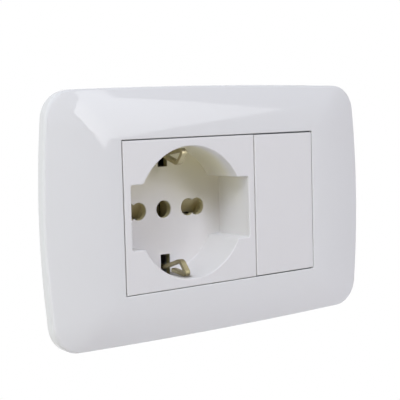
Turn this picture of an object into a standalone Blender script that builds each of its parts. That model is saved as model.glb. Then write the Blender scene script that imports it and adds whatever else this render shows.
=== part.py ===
"""Flush-mounted universal socket: two-module socket and one-module blank cover in a three-module plate.

Metres, +Z up. The front faces -Y and the wall plane is y = 0. The origin is the middle of the
plate's opening on the wall plane. A depth is a Y value: negative in front of the wall.
"""

from math import atan2, cos, pi, radians, sin, tan
from typing import Iterable, Sequence

import bmesh
import bpy
from mathutils import Matrix, Vector

Point2 = tuple[float, float]
Point3 = tuple[float, float, float]

# Fits between separate pieces
CLEARANCE = 0.0003
BITE = 0.0004

# Module system: the well's tube and these margins set the module's pitch and height
MODULE_COUNT = 3
SOCKET_MODULES = 2
MODULE_SIDE_MARGIN = 0.0031
MODULE_TOP_MARGIN = 0.00026
FACE_TOP_STEP = 0.000565
FACE_THICKNESS = 0.0018
FACE_STAND_OFF = 0.0065
FACE_EDGE_ROUND = 0.0003
BODY_SIDE_STEP = 0.00075
BODY_WALL = 0.0015

# Cover plate: its margins run from the opening to the outer edge
PLATE_SIDE_MARGIN = 0.02409
PLATE_TOP_MARGIN = 0.015335
PLATE_SIDE_BOW = 0.0026
PLATE_TOP_BOW = 0.0006
PLATE_CORNER_RADIUS = 0.0088
PLATE_EDGE_WALL = 0.0023
PLATE_EDGE_ROUND = 0.0011
PLATE_EDGE_TURN = 70.0
PLATE_SKIN = 0.0018
PLATE_LIP_PROUD = 0.0001
PLATE_LIP_ROUND = 0.0003
PLATE_OPENING_CORNER = 0.0005
PLATE_DOME_RINGS = 5
PLATE_SIDE_POINTS = 9
PLATE_CORNER_POINTS = 8
PLATE_TOP_POINTS = 10
PEG_WIDTH = 0.0060
PEG_THICKNESS = 0.0016
PEG_INSET = 0.0040
PEG_Z = 0.0120

# Mounting frame and its screws
FRAME_SIDE_INSET = 0.0075
FRAME_TOP_INSET = 0.0062
FRAME_CORNER_RADIUS = 0.0050
FRAME_THICKNESS = 0.0020
FRAME_RING_WALL = 0.0012
FRAME_RING_BACK = 0.0070
SCREW_HEAD_GAP = 0.00034
SCREW_SLOT_LENGTH = 0.0048
FRAME_SCREW_RADIUS = 0.0015
FRAME_SCREW_LENGTH = 0.0250
FRAME_SCREW_HEAD_RADIUS = 0.0028
FRAME_SCREW_HEAD = 0.0019

# Snap wedges on the modules and their windows in the frame
SNAP_WIDTH = 0.0080
SNAP_LENGTH = 0.0030
SNAP_HEIGHT = 0.0009
SNAP_FRONT = 0.0020

# Well of the socket
WELL_RADIUS = 0.02014
WELL_DEPTH = 0.0152
WELL_WALL = 0.0016
FLOOR_THICKNESS = 0.0020
NOTCH_REACH = 0.00206
NOTCH_HEIGHT = 0.0193
PIN_HOLE_RADIUS = 0.00272
NARROW_PIN_PITCH = 0.0190
WIDE_PIN_PITCH = 0.0260
CLIP_SLOT_WIDTH = 0.0036
CLIP_SLOT_INSET = 0.00634
CLIP_GROOVE_DEPTH = 0.0009
CLIP_GROOVE_FRONT = 0.0028

# Shutter and its spring
SHUTTER_THICKNESS = 0.0045
SHUTTER_TRAVEL = 0.0052
SHUTTER_WINDOW_MARGIN = 0.0003
SHUTTER_RIM = 0.0013
SHUTTER_BRIDGE = 0.0022
SHUTTER_SLOT_MARGIN = 0.0006
SHUTTER_RAMP_EDGE = 0.0009
RAIL_WIDTH = 0.0008
RAIL_SHORT = 0.0012
STOP_HEIGHT = 0.0010
SPRING_X = 0.0060
SPRING_TOP_INSET = 0.00678
SPRING_RADIUS = 0.0013
SPRING_WIRE = 0.0004
SPRING_TURNS = 7
SPRING_PEG_RADIUS = 0.0007
SPRING_PEG_HEIGHT = 0.0012
SPRING_SEAT = 0.0015
SPRING_SEAT_WIDTH = 0.0050

# Earth bracket and clips
STRIP_THICKNESS = 0.0008
BRACKET_THICKNESS = 0.0012
CLIP_WIDTH = 0.0019
BRACKET_WIDTH = 0.0090
BRACKET_TOP = 0.0060
BRACKET_BOTTOM = 0.0090
BRACKET_HOLE_RADIUS = 0.0032
BRACKET_GAP = 0.0006
CLIP_ARM_INSET = 0.00234
CLIP_APEX_INSET = 0.00519
CLIP_APEX_DEPTH = 0.0067
CLIP_END_INSET = 0.00094
CLIP_END_DEPTH = 0.0036
CLIP_RETURN_INSET = 0.00184
CLIP_RETURN_DEPTH = 0.0108
CLIP_DROP = 0.0004
CLIP_BEND = 0.0008

# Rear housing
HOUSING_SIDE_STEP = 0.0003
HOUSING_BACK = 0.0310
HOUSING_BACK_WALL = 0.0016
CELL_WALL = 0.0010
HOUSING_SCREW_INSET = 0.0038
HOUSING_SCREW_RADIUS = 0.0012
HOUSING_SCREW_LENGTH = 0.0110
HOUSING_SCREW_HEAD_RADIUS = 0.0022
HOUSING_SCREW_HEAD = 0.0015
HOUSING_SCREW_SEAT = 0.0160
BOSS_WALL = 0.0012
BOSS_FRONT = 0.0020

# Line contacts, terminals and the middle earth contact
CONTACT_SPAN = 0.0087
CONTACT_FRONT = 0.0165
CONTACT_GRIP = 0.0185
CONTACT_BACK_GAP = 0.0029
CONTACT_MOUTH_Z = 0.0037
CONTACT_GRIP_Z = 0.00175
TERMINAL_PITCH = 0.01125
TAB_WIDTH = 0.0062
TAB_INSET = 0.0039
TAB_END = 0.0036
CELL_TOP = 0.0060
CELL_FRONT = 0.0200
TERMINAL_SCREW_DROP = 0.0036
TERMINAL_SCREW_RADIUS = 0.0016
TERMINAL_SCREW_HEAD_RADIUS = 0.0029
TERMINAL_SCREW_HEAD = 0.0018
TERMINAL_SCREW_TIP = 0.0030
TERMINAL_SCREW_INSET = 0.0004
CLAMP_THICKNESS = 0.0012
CLAMP_HEIGHT = 0.0066
WIRE_ENTRY_WIDTH = 0.0044
WIRE_ENTRY_DEPTH = 0.0032
EARTH_TUBE_RADIUS = 0.00305
EARTH_TUBE_BORE = 0.00245
EARTH_TUBE_GAP = 0.0027
EARTH_TUBE_SPLIT = 0.0008
EARTH_PLATE_TOP = 0.0042
EARTH_PLATE_BOTTOM = 0.0084
RIVET_Z = -0.0060
RIVET_RADIUS = 0.0011
RIVET_HEAD_RADIUS = 0.0019
RIVET_HEAD = 0.0006
DRIVE_SLOT_WIDTH = 0.0008
DRIVE_SLOT_DEPTH = 0.0008

# Blank cover
BLANK_FACE_SHORT = 0.00023
BLANK_BACK = 0.0060
BLANK_WALL = 0.0014
BLANK_RIB = 0.0012
BLANK_RIB_DEPTH = 0.0047
BLANK_RIB_SHARE = 1 / 6

# Facets round a full circle, and steps in a bend or an edge round
SEGMENTS_WELL = 64
SEGMENTS_HOLE = 32
SEGMENTS_SMALL = 16
CORNER_STEPS = 6
BEND_STEPS = 3
ROUND_STEPS = 5
SPRING_STEPS = 10

# Largest share of a straight stretch that a bend may use up, and of a slot's half width in its corners
BEND_SHARE = 0.45
SLOT_ROUND_SHARE = 0.98

# Sizes and places worked out from the sizes above
TUBE_RADIUS = WELL_RADIUS + WELL_WALL
MODULE_PITCH = 2 * (TUBE_RADIUS + MODULE_SIDE_MARGIN) / SOCKET_MODULES
BODY_HEIGHT = 2 * (TUBE_RADIUS + MODULE_TOP_MARGIN)
FACE_HEIGHT = BODY_HEIGHT + 2 * FACE_TOP_STEP
BLANK_FACE_HEIGHT = FACE_HEIGHT - BLANK_FACE_SHORT
OPENING_HALF_X = MODULE_COUNT * MODULE_PITCH / 2 + CLEARANCE / 2
OPENING_HALF_Z = FACE_HEIGHT / 2 + CLEARANCE
PLATE_WIDTH = 2 * (OPENING_HALF_X + PLATE_SIDE_MARGIN)
PLATE_HEIGHT = 2 * (OPENING_HALF_Z + PLATE_TOP_MARGIN)
FRAME_WIDTH = PLATE_WIDTH - 2 * FRAME_SIDE_INSET
FRAME_HEIGHT = PLATE_HEIGHT - 2 * FRAME_TOP_INSET
FRAME_SCREW_X = OPENING_HALF_X + FRAME_RING_WALL + FRAME_SCREW_HEAD_RADIUS + SCREW_HEAD_GAP
PEG_X = FRAME_WIDTH / 2 - PEG_INSET
FACE_FRONT = -FACE_STAND_OFF
FACE_BACK = FACE_FRONT + FACE_THICKNESS
PLATE_LIP_FRONT = FACE_FRONT - PLATE_LIP_PROUD
PLATE_LIP_BACK = PLATE_LIP_FRONT + PLATE_SKIN
RING_FRONT = max(FACE_BACK, PLATE_LIP_BACK) + CLEARANCE
RING_HALF_Z = BODY_HEIGHT / 2 + CLEARANCE
SOCKET_X = -(MODULE_COUNT - SOCKET_MODULES) * MODULE_PITCH / 2
SOCKET_FACE_WIDTH = SOCKET_MODULES * MODULE_PITCH - CLEARANCE
BLANK_X = SOCKET_MODULES * MODULE_PITCH / 2
BLANK_FACE_WIDTH = MODULE_PITCH - CLEARANCE
FLOOR_FRONT = FACE_FRONT + WELL_DEPTH
FLOOR_BACK = FLOOR_FRONT + FLOOR_THICKNESS
SOCKET_BODY_X = SOCKET_FACE_WIDTH / 2 - BODY_SIDE_STEP
WINDOW_RADIUS = PIN_HOLE_RADIUS + SHUTTER_WINDOW_MARGIN
SHUTTER_FRONT = FLOOR_BACK + CLEARANCE
SHUTTER_BACK = SHUTTER_FRONT + SHUTTER_THICKNESS
SHUTTER_HALF_X = WIDE_PIN_PITCH / 2 + WINDOW_RADIUS + SHUTTER_RIM
SHUTTER_BOTTOM = -SHUTTER_TRAVEL - WINDOW_RADIUS - SHUTTER_RIM
SHUTTER_SLOT_HALF = PIN_HOLE_RADIUS + SHUTTER_SLOT_MARGIN
SHUTTER_TOP = SHUTTER_SLOT_HALF + SHUTTER_BRIDGE
SPRING_BOTTOM = SHUTTER_TOP + CLEARANCE
SPRING_TOP = BODY_HEIGHT / 2 - SPRING_TOP_INSET
SPRING_Y = (SHUTTER_FRONT + SHUTTER_BACK) / 2
BRACKET_FRONT = SHUTTER_BACK + BRACKET_GAP
BRACKET_MIDDLE = BRACKET_FRONT + BRACKET_THICKNESS / 2
EARTH_PLATE_FRONT = BRACKET_FRONT + BRACKET_THICKNESS + CLEARANCE
EARTH_PLATE_BACK = EARTH_PLATE_FRONT + STRIP_THICKNESS
HOUSING_FRONT = FLOOR_BACK + CLEARANCE
HOUSING_HALF_X = SOCKET_BODY_X - HOUSING_SIDE_STEP
HOUSING_HALF_Z = BODY_HEIGHT / 2 - HOUSING_SIDE_STEP
HOUSING_INNER_BACK = HOUSING_BACK - HOUSING_BACK_WALL
CONTACT_BACK = HOUSING_INNER_BACK - CONTACT_BACK_GAP
EARTH_TUBE_BACK = HOUSING_INNER_BACK - EARTH_TUBE_GAP
TAB_DEPTH = CONTACT_BACK - TAB_INSET
TAB_BACK = TAB_DEPTH + STRIP_THICKNESS
TERMINAL_SCREW_Z = EARTH_PLATE_BOTTOM + TERMINAL_SCREW_DROP
TAB_BOTTOM = TERMINAL_SCREW_Z + TAB_END
HEAD_FRONT = HOUSING_BACK - TERMINAL_SCREW_INSET - TERMINAL_SCREW_HEAD
CLAMP_BACK = HEAD_FRONT - CLEARANCE
CLAMP_FRONT = CLAMP_BACK - CLAMP_THICKNESS


class Workshop:
    """Keeps the part's collections and materials, and makes objects in them."""

    def __init__(self, part_name: str) -> None:
        self.parts = bpy.data.collections.new(part_name)
        self.shaping = bpy.data.collections.new(part_name + "_shaping")
        for collection in (self.parts, self.shaping):
            bpy.context.scene.collection.children.link(collection)

    def material(self, name: str, colour: Point3, roughness: float,
                 metallic: float = 0.0) -> bpy.types.Material:
        """Returns a Principled material with a plain colour, made once for each name."""
        found = bpy.data.materials.get(name)
        if found:
            return found
        made = bpy.data.materials.new(name)
        made.use_nodes = True
        shader = made.node_tree.nodes["Principled BSDF"]
        shader.inputs["Base Color"].default_value = (*colour, 1.0)
        shader.inputs["Roughness"].default_value = roughness
        shader.inputs["Metallic"].default_value = metallic
        return made

    def tool(self, obj: bpy.types.Object) -> bpy.types.Object:
        """Puts a cutter or an added shape where it isn't rendered, and returns it."""
        self.shaping.objects.link(obj)
        obj.hide_render = True
        obj.display_type = "WIRE"
        return obj

    def part(self, obj: bpy.types.Object, name: str, material: bpy.types.Material) -> bpy.types.Object:
        """Puts a finished piece in the part's collection under its node name, and returns it."""
        obj.name = name
        obj.data.name = name
        obj.data.materials.clear()
        obj.data.materials.append(material)
        self.parts.objects.link(obj)
        return obj


def from_bmesh(name: str, bm: bmesh.types.BMesh) -> bpy.types.Object:
    """Returns an unlinked object that holds the bmesh."""
    mesh = bpy.data.meshes.new(name)
    bm.to_mesh(mesh)
    bm.free()
    return bpy.data.objects.new(name, mesh)


def box(low: Point3, high: Point3, name: str = "box") -> bpy.types.Object:
    """Returns a box between two corners."""
    bm = bmesh.new()
    bmesh.ops.create_cube(bm, size=1.0)
    size = Vector(high) - Vector(low)
    centre = (Vector(high) + Vector(low)) / 2
    bmesh.ops.scale(bm, vec=size, verts=bm.verts)
    bmesh.ops.translate(bm, vec=centre, verts=bm.verts)
    return from_bmesh(name, bm)


def centred_box(x: float, half_x: float, front: float, back: float,
                bottom: float, top: float) -> bpy.types.Object:
    """Returns a box that is centred on x, between two depths and two heights."""
    return box((x - half_x, front, bottom), (x + half_x, back, top))


def rod(radius: float, start: Point3, end: Point3, segments: int = SEGMENTS_HOLE) -> bpy.types.Object:
    """Returns a cylinder along the line from start to end."""
    line = Vector(end) - Vector(start)
    bm = bmesh.new()
    turn = Vector((0, 0, 1)).rotation_difference(line).to_matrix().to_4x4()
    place = Matrix.Translation((Vector(start) + Vector(end)) / 2) @ turn
    bmesh.ops.create_cone(bm, cap_ends=True, segments=segments, radius1=radius, radius2=radius,
                          depth=line.length, matrix=place)
    return from_bmesh("rod", bm)


def rod_y(radius: float, x: float, z: float, front: float, back: float,
          segments: int = SEGMENTS_HOLE) -> bpy.types.Object:
    """Returns a cylinder that runs straight back from the front depth."""
    return rod(radius, (x, front, z), (x, back, z), segments)


def slab(outline: Sequence[Point2], front: float, back: float) -> bpy.types.Object:
    """Returns a flat outline in X and Z, filled and extruded between two depths."""
    curve = bpy.data.curves.new("slab", "CURVE")
    curve.dimensions = "2D"
    curve.fill_mode = "BOTH"
    curve.extrude = (back - front) / 2
    spline = curve.splines.new("POLY")
    spline.points.add(len(outline) - 1)
    spline.use_cyclic_u = True
    for point, (x, z) in zip(spline.points, outline):
        point.co = (x, z, 0, 1)
    flat = bpy.data.objects.new("slab", curve)
    flat.matrix_world = Matrix.Translation((0, (front + back) / 2, 0)) @ Matrix.Rotation(pi / 2, 4, "X")
    return mesh_of(flat)


def mesh_of(source: bpy.types.Object) -> bpy.types.Object:
    """Turns a curve object into a closed mesh object in the same place, and removes the curve."""
    bpy.context.scene.collection.objects.link(source)
    evaluated = source.evaluated_get(bpy.context.evaluated_depsgraph_get())
    mesh = bpy.data.meshes.new_from_object(evaluated)
    bm = bmesh.new()
    bm.from_mesh(mesh)
    bmesh.ops.remove_doubles(bm, verts=bm.verts, dist=0.000001)
    bmesh.ops.transform(bm, matrix=source.matrix_world, verts=bm.verts)
    bmesh.ops.recalc_face_normals(bm, faces=bm.faces)
    curve = source.data
    bpy.data.objects.remove(source)
    bpy.data.curves.remove(curve)
    bpy.data.meshes.remove(mesh)
    return from_bmesh("solid", bm)


def bent_path(corners: Sequence[Point2], bend: float, steps: int = BEND_STEPS) -> list[Point2]:
    """Returns a line through the corners, with an arc of the bend radius at each inner corner."""
    path = [corners[0]]
    for before, corner, after in zip(corners, corners[1:], corners[2:]):
        inward = Vector(before) - Vector(corner)
        outward = Vector(after) - Vector(corner)
        opening = inward.angle(outward)
        longest = BEND_SHARE * min(inward.length, outward.length)
        reach = min(bend / tan(opening / 2), longest)
        radius = reach * tan(opening / 2)
        middle = (inward.normalized() + outward.normalized()).normalized()
        centre = Vector(corner) + middle * (radius / sin(opening / 2))
        first = Vector(corner) + inward.normalized() * reach - centre
        last = Vector(corner) + outward.normalized() * reach - centre
        sweep = atan2(first.x * last.y - first.y * last.x, first.dot(last))
        for step in range(steps + 1):
            turn = Matrix.Rotation(sweep * step / steps, 2)
            path.append(tuple(centre + turn @ first))
    path.append(corners[-1])
    return path


def strip(path: Sequence[Point2], x: float, width: float,
          thickness: float = STRIP_THICKNESS) -> bpy.types.Object:
    """Returns sheet metal that follows a path of (depth, height) points, centred on x."""
    bm = bmesh.new()
    edges = [[bm.verts.new((x + side * width / 2, y, z)) for side in (-1, 1)] for y, z in path]
    for (left, right), (next_left, next_right) in zip(edges, edges[1:]):
        bm.faces.new((left, right, next_right, next_left))
    sheet = from_bmesh("strip", bm)
    thicken = sheet.modifiers.new("thickness", "SOLIDIFY")
    thicken.thickness = thickness
    thicken.offset = 0.0
    thicken.use_even_offset = True
    return sheet


def combine(target: bpy.types.Object, operation: str, tools: Iterable[bpy.types.Object],
            workshop: Workshop) -> bpy.types.Object:
    """Adds one exact Boolean modifier for each tool, and returns the target."""
    for tool in tools:
        modifier = target.modifiers.new(operation.lower(), "BOOLEAN")
        modifier.operation = operation
        modifier.solver = "EXACT"
        modifier.object = workshop.tool(tool)
    return target


def fuse(target: bpy.types.Object, workshop: Workshop, *tools: bpy.types.Object) -> bpy.types.Object:
    """Joins the tools to the target."""
    return combine(target, "UNION", tools, workshop)


def cut(target: bpy.types.Object, workshop: Workshop, *tools: bpy.types.Object) -> bpy.types.Object:
    """Takes the tools out of the target."""
    return combine(target, "DIFFERENCE", tools, workshop)


def rounded_rectangle(half_x: float, half_z: float, radius: float, steps: int = CORNER_STEPS) -> list[Point2]:
    """Returns a rectangle's outline about the origin, with round corners."""
    points = []
    for quarter, (side_x, side_z) in enumerate(((1, 1), (-1, 1), (-1, -1), (1, -1))):
        for step in range(steps + 1):
            angle = (quarter + step / steps) * pi / 2
            x = side_x * (half_x - radius) + radius * cos(angle)
            z = side_z * (half_z - radius) + radius * sin(angle)
            points.append((x, z))
    return points


def mirrored_quarter(quarter: Sequence[Point2]) -> list[Point2]:
    """Returns a closed loop from the points of one quarter, from the +X axis round to the +Z axis."""
    upper = list(quarter) + [(-x, z) for x, z in reversed(quarter[:-1])]
    return upper + [(x, -z) for x, z in reversed(upper[1:-1])]


def plate_quarter(shrink: float) -> list[Point2]:
    """Returns a quarter of the plate's bowed outline, drawn in by shrink on each side."""
    half_x = PLATE_WIDTH / 2 - shrink
    half_z = PLATE_HEIGHT / 2 - shrink
    radius = PLATE_CORNER_RADIUS
    centre_z = half_z - PLATE_TOP_BOW - radius
    centre_x = half_x - PLATE_SIDE_BOW * (centre_z / half_z) ** 2 - radius
    start = atan2(2 * PLATE_SIDE_BOW * centre_z, half_z ** 2)
    end = pi / 2 - atan2(2 * PLATE_TOP_BOW * centre_x, half_x ** 2)
    side_top = (centre_x + radius * cos(start), centre_z + radius * sin(start))
    top_side = (centre_x + radius * cos(end), centre_z + radius * sin(end))
    points = []
    for step in range(PLATE_SIDE_POINTS):
        share = step / PLATE_SIDE_POINTS
        points.append((half_x - (half_x - side_top[0]) * share ** 2, side_top[1] * share))
    for step in range(PLATE_CORNER_POINTS + 1):
        angle = start + (end - start) * step / PLATE_CORNER_POINTS
        points.append((centre_x + radius * cos(angle), centre_z + radius * sin(angle)))
    for step in range(1, PLATE_TOP_POINTS + 1):
        share = 1 - step / PLATE_TOP_POINTS
        points.append((top_side[0] * share, half_z - (half_z - top_side[1]) * share ** 2))
    return points


def opening_quarter(grow: float) -> list[Point2]:
    """Returns a quarter of the plate's opening, matched point for point to plate_quarter."""
    radius = PLATE_OPENING_CORNER
    half_x = OPENING_HALF_X + grow
    half_z = OPENING_HALF_Z + grow
    points = [(half_x, (half_z - radius) * step / PLATE_SIDE_POINTS) for step in range(PLATE_SIDE_POINTS)]
    for step in range(PLATE_CORNER_POINTS + 1):
        angle = pi / 2 * step / PLATE_CORNER_POINTS
        points.append((half_x - radius + radius * cos(angle), half_z - radius + radius * sin(angle)))
    for step in range(1, PLATE_TOP_POINTS + 1):
        points.append(((half_x - radius) * (1 - step / PLATE_TOP_POINTS), half_z))
    return points


def plate_rings() -> list[list[Point3]]:
    """Returns the plate's outer surface as rings, from its rim on the wall to the opening's lip."""
    rings = [(plate_quarter(0.0), 0.0)]
    for step in range(ROUND_STEPS + 1):
        angle = radians(PLATE_EDGE_TURN) * step / ROUND_STEPS
        shrink = PLATE_EDGE_ROUND * (1 - cos(angle))
        rings.append((plate_quarter(shrink), -PLATE_EDGE_WALL - PLATE_EDGE_ROUND * sin(angle)))
    edge, edge_depth = rings[-1]
    lip = opening_quarter(PLATE_LIP_ROUND)
    rise = PLATE_LIP_FRONT - edge_depth
    for step in range(1, PLATE_DOME_RINGS + 1):
        share = step / PLATE_DOME_RINGS
        blend = [(a[0] + (b[0] - a[0]) * share, a[1] + (b[1] - a[1]) * share) for a, b in zip(edge, lip)]
        rings.append((blend, edge_depth + rise * (1 - (1 - share) ** 2)))
    rings.append((opening_quarter(0.0), PLATE_LIP_FRONT + PLATE_LIP_ROUND))
    return [[(x, depth, z) for x, z in mirrored_quarter(quarter)] for quarter, depth in rings]


def make_cover_plate(workshop: Workshop) -> bpy.types.Object:
    """Makes the domed cover plate: a lofted shell with four pegs that push into the frame."""
    bm = bmesh.new()
    rings = [[bm.verts.new(point) for point in ring] for ring in plate_rings()]
    for ring, inner in zip(rings, rings[1:]):
        for index in range(len(ring)):
            after = (index + 1) % len(ring)
            bm.faces.new((ring[index], ring[after], inner[after], inner[index]))
    bmesh.ops.recalc_face_normals(bm, faces=bm.faces)
    shell = from_bmesh("plate", bm)
    thicken = shell.modifiers.new("skin", "SOLIDIFY")
    thicken.thickness = PLATE_SKIN
    thicken.offset = -1.0
    pegs = [
        centred_box(side_x * PEG_X, PEG_THICKNESS / 2, PLATE_LIP_BACK - BITE, -CLEARANCE,
                    side_z * PEG_Z - PEG_WIDTH / 2, side_z * PEG_Z + PEG_WIDTH / 2)
        for side_x in (-1, 1) for side_z in (-1, 1)
    ]
    fuse(shell, workshop, *pegs)
    gloss = workshop.material("gloss_white", (0.78, 0.78, 0.79), 0.12)
    return workshop.part(shell, "cover_plate", gloss)


def make_mounting_frame(workshop: Workshop) -> bpy.types.Object:
    """Makes the carrier frame: a flange on the wall and a ring wall that the modules snap into."""
    outline = rounded_rectangle(FRAME_WIDTH / 2, FRAME_HEIGHT / 2, FRAME_CORNER_RADIUS)
    frame = slab(outline, -FRAME_THICKNESS, 0.0)
    ring = centred_box(0, OPENING_HALF_X + FRAME_RING_WALL, RING_FRONT, FRAME_RING_BACK,
                       -RING_HALF_Z - FRAME_RING_WALL, RING_HALF_Z + FRAME_RING_WALL)
    fuse(frame, workshop, ring)
    opening = centred_box(0, OPENING_HALF_X, RING_FRONT - BITE, FRAME_RING_BACK + BITE,
                          -RING_HALF_Z, RING_HALF_Z)
    cutters = [opening]
    slot_half = FRAME_SCREW_RADIUS + CLEARANCE
    for side in (-1, 1):
        slot = [(side * FRAME_SCREW_X + x, z)
                for x, z in rounded_rectangle(SCREW_SLOT_LENGTH / 2, slot_half, slot_half * SLOT_ROUND_SHARE)]
        cutters.append(slab(slot, -FRAME_THICKNESS - BITE, BITE))
        for side_z in (-1, 1):
            cutters.append(centred_box(side * PEG_X, PEG_THICKNESS / 2 + CLEARANCE,
                                       -FRAME_THICKNESS - BITE, BITE,
                                       side_z * PEG_Z - PEG_WIDTH / 2 - CLEARANCE,
                                       side_z * PEG_Z + PEG_WIDTH / 2 + CLEARANCE))
    for x in (SOCKET_X, BLANK_X):
        reach = RING_HALF_Z + FRAME_RING_WALL + BITE
        cutters.append(centred_box(x, SNAP_WIDTH / 2 + CLEARANCE, SNAP_FRONT - CLEARANCE,
                                   SNAP_FRONT + SNAP_LENGTH + CLEARANCE, -reach, reach))
    cut(frame, workshop, *cutters)
    grey = workshop.material("frame_grey", (0.55, 0.56, 0.57), 0.5)
    return workshop.part(frame, "mounting_frame", grey)


def snap_wedges(x: float) -> list[bpy.types.Object]:
    """Returns the two wedges, top and bottom, that hold a module in the frame's windows."""
    wedges = []
    for side in (-1, 1):
        root = side * (BODY_HEIGHT / 2 - BITE)
        crest = side * (BODY_HEIGHT / 2 + SNAP_HEIGHT)
        profile = [(SNAP_FRONT, root), (SNAP_FRONT, crest), (SNAP_FRONT + SNAP_LENGTH, root)]
        bm = bmesh.new()
        verts = [bm.verts.new((x - SNAP_WIDTH / 2, y, z)) for y, z in profile]
        face = bm.faces.new(verts)
        grown = bmesh.ops.extrude_face_region(bm, geom=[face])
        moved = [item for item in grown["geom"] if isinstance(item, bmesh.types.BMVert)]
        bmesh.ops.translate(bm, vec=(SNAP_WIDTH, 0, 0), verts=moved)
        bmesh.ops.recalc_face_normals(bm, faces=bm.faces)
        wedges.append(from_bmesh("wedge", bm))
    return wedges


def face_slab(x: float, width: float, height: float) -> bpy.types.Object:
    """Returns a module's face with its front edges rounded."""
    face = centred_box(x, width / 2, FACE_FRONT, FACE_BACK, -height / 2, height / 2)
    bm = bmesh.new()
    bm.from_mesh(face.data)
    front = [edge for edge in bm.edges if all(vert.co.y < FACE_FRONT + BITE for vert in edge.verts)]
    bmesh.ops.bevel(bm, geom=front, offset=FACE_EDGE_ROUND, segments=2, profile=0.5, affect="EDGES")
    bm.to_mesh(face.data)
    bm.free()
    return face


def pin_columns() -> list[Point2]:
    """Returns the (x, z) centres of the five pin positions in the well's floor, from the left."""
    offsets = (-WIDE_PIN_PITCH / 2, -NARROW_PIN_PITCH / 2, 0.0, NARROW_PIN_PITCH / 2, WIDE_PIN_PITCH / 2)
    return [(SOCKET_X + offset, 0.0) for offset in offsets]


def make_socket_front(workshop: Workshop) -> bpy.types.Object:
    """Makes the module front: face, skirt, well, notches, floor, shutter rails and screw bosses."""
    front = face_slab(SOCKET_X, SOCKET_FACE_WIDTH, FACE_HEIGHT)
    skirt = centred_box(SOCKET_X, SOCKET_BODY_X, FACE_BACK - BITE, FLOOR_BACK,
                        -BODY_HEIGHT / 2, BODY_HEIGHT / 2)
    pocket = centred_box(SOCKET_X, SOCKET_BODY_X - BODY_WALL, FACE_BACK, FLOOR_BACK + BITE,
                         -BODY_HEIGHT / 2 + BODY_WALL, BODY_HEIGHT / 2 - BODY_WALL)
    tube = rod_y(TUBE_RADIUS, SOCKET_X, 0, FACE_BACK - BITE, FLOOR_BACK, SEGMENTS_WELL)
    notch_case = centred_box(SOCKET_X, SOCKET_BODY_X - BITE, FACE_BACK - BITE, FLOOR_BACK,
                             -NOTCH_HEIGHT / 2 - WELL_WALL, NOTCH_HEIGHT / 2 + WELL_WALL)
    fuse(front, workshop, skirt)
    cut(front, workshop, pocket)
    fuse(front, workshop, tube, notch_case, *snap_wedges(SOCKET_X), *shutter_guides(), *screw_bosses())
    well = rod_y(WELL_RADIUS, SOCKET_X, 0, FACE_FRONT - BITE, FLOOR_FRONT, SEGMENTS_WELL)
    notch = centred_box(SOCKET_X, WELL_RADIUS + NOTCH_REACH, FACE_FRONT - BITE, FLOOR_FRONT,
                        -NOTCH_HEIGHT / 2, NOTCH_HEIGHT / 2)
    cut(front, workshop, well, notch)
    cut(front, workshop, *[rod_y(PIN_HOLE_RADIUS, x, z, FLOOR_FRONT - BITE, FLOOR_BACK + BITE)
                           for x, z in pin_columns()])
    for side in (-1, 1):
        reach = sorted((side * (WELL_RADIUS - CLIP_SLOT_INSET) - CLIP_DROP,
                        side * (WELL_RADIUS + CLIP_GROOVE_DEPTH)))
        slot = centred_box(SOCKET_X, CLIP_SLOT_WIDTH / 2, FACE_FRONT + CLIP_GROOVE_FRONT,
                           FLOOR_BACK + BITE, *reach)
        cut(front, workshop, slot)
    for x, z in housing_screw_places():
        cut(front, workshop, rod_y(HOUSING_SCREW_RADIUS + CLEARANCE, x, z, BOSS_FRONT + BOSS_WALL,
                                   FLOOR_BACK + BITE, SEGMENTS_SMALL))
    return workshop.part(front, "socket_front", workshop.material("satin_white", (0.76, 0.76, 0.78), 0.38))


def shutter_guides() -> list[bpy.types.Object]:
    """Returns the rails, bottom stop and spring seat behind the well's floor."""
    rail_z = SHUTTER_TOP + SHUTTER_TRAVEL - RAIL_SHORT
    rail_inner = SHUTTER_HALF_X + CLEARANCE
    rails = [
        centred_box(SOCKET_X + side * (rail_inner + RAIL_WIDTH / 2), RAIL_WIDTH / 2,
                    FLOOR_BACK - BITE, SHUTTER_BACK, -rail_z, rail_z)
        for side in (-1, 1)
    ]
    stop_top = SHUTTER_BOTTOM - CLEARANCE
    stop = centred_box(SOCKET_X, rail_inner - RAIL_WIDTH, FLOOR_BACK - BITE, SHUTTER_BACK,
                       stop_top - STOP_HEIGHT, stop_top)
    seat = centred_box(SOCKET_X + SPRING_X, SPRING_SEAT_WIDTH / 2, FLOOR_BACK - BITE, SHUTTER_BACK,
                       SPRING_TOP + CLEARANCE, SPRING_TOP + CLEARANCE + SPRING_SEAT)
    return rails + [stop, seat]


def housing_screw_places() -> list[Point2]:
    """Returns the (x, z) places of the upper right and the lower left housing screw."""
    out_x = HOUSING_HALF_X - HOUSING_SCREW_INSET
    out_z = HOUSING_HALF_Z - HOUSING_SCREW_INSET
    return [(SOCKET_X + side * out_x, side * out_z) for side in (1, -1)]


def screw_bosses() -> list[bpy.types.Object]:
    """Returns the bosses in the module's corners that the housing screws bite into."""
    radius = HOUSING_SCREW_RADIUS + CLEARANCE + BOSS_WALL
    return [rod_y(radius, x, z, BOSS_FRONT, FLOOR_BACK, SEGMENTS_SMALL) for x, z in housing_screw_places()]


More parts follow.
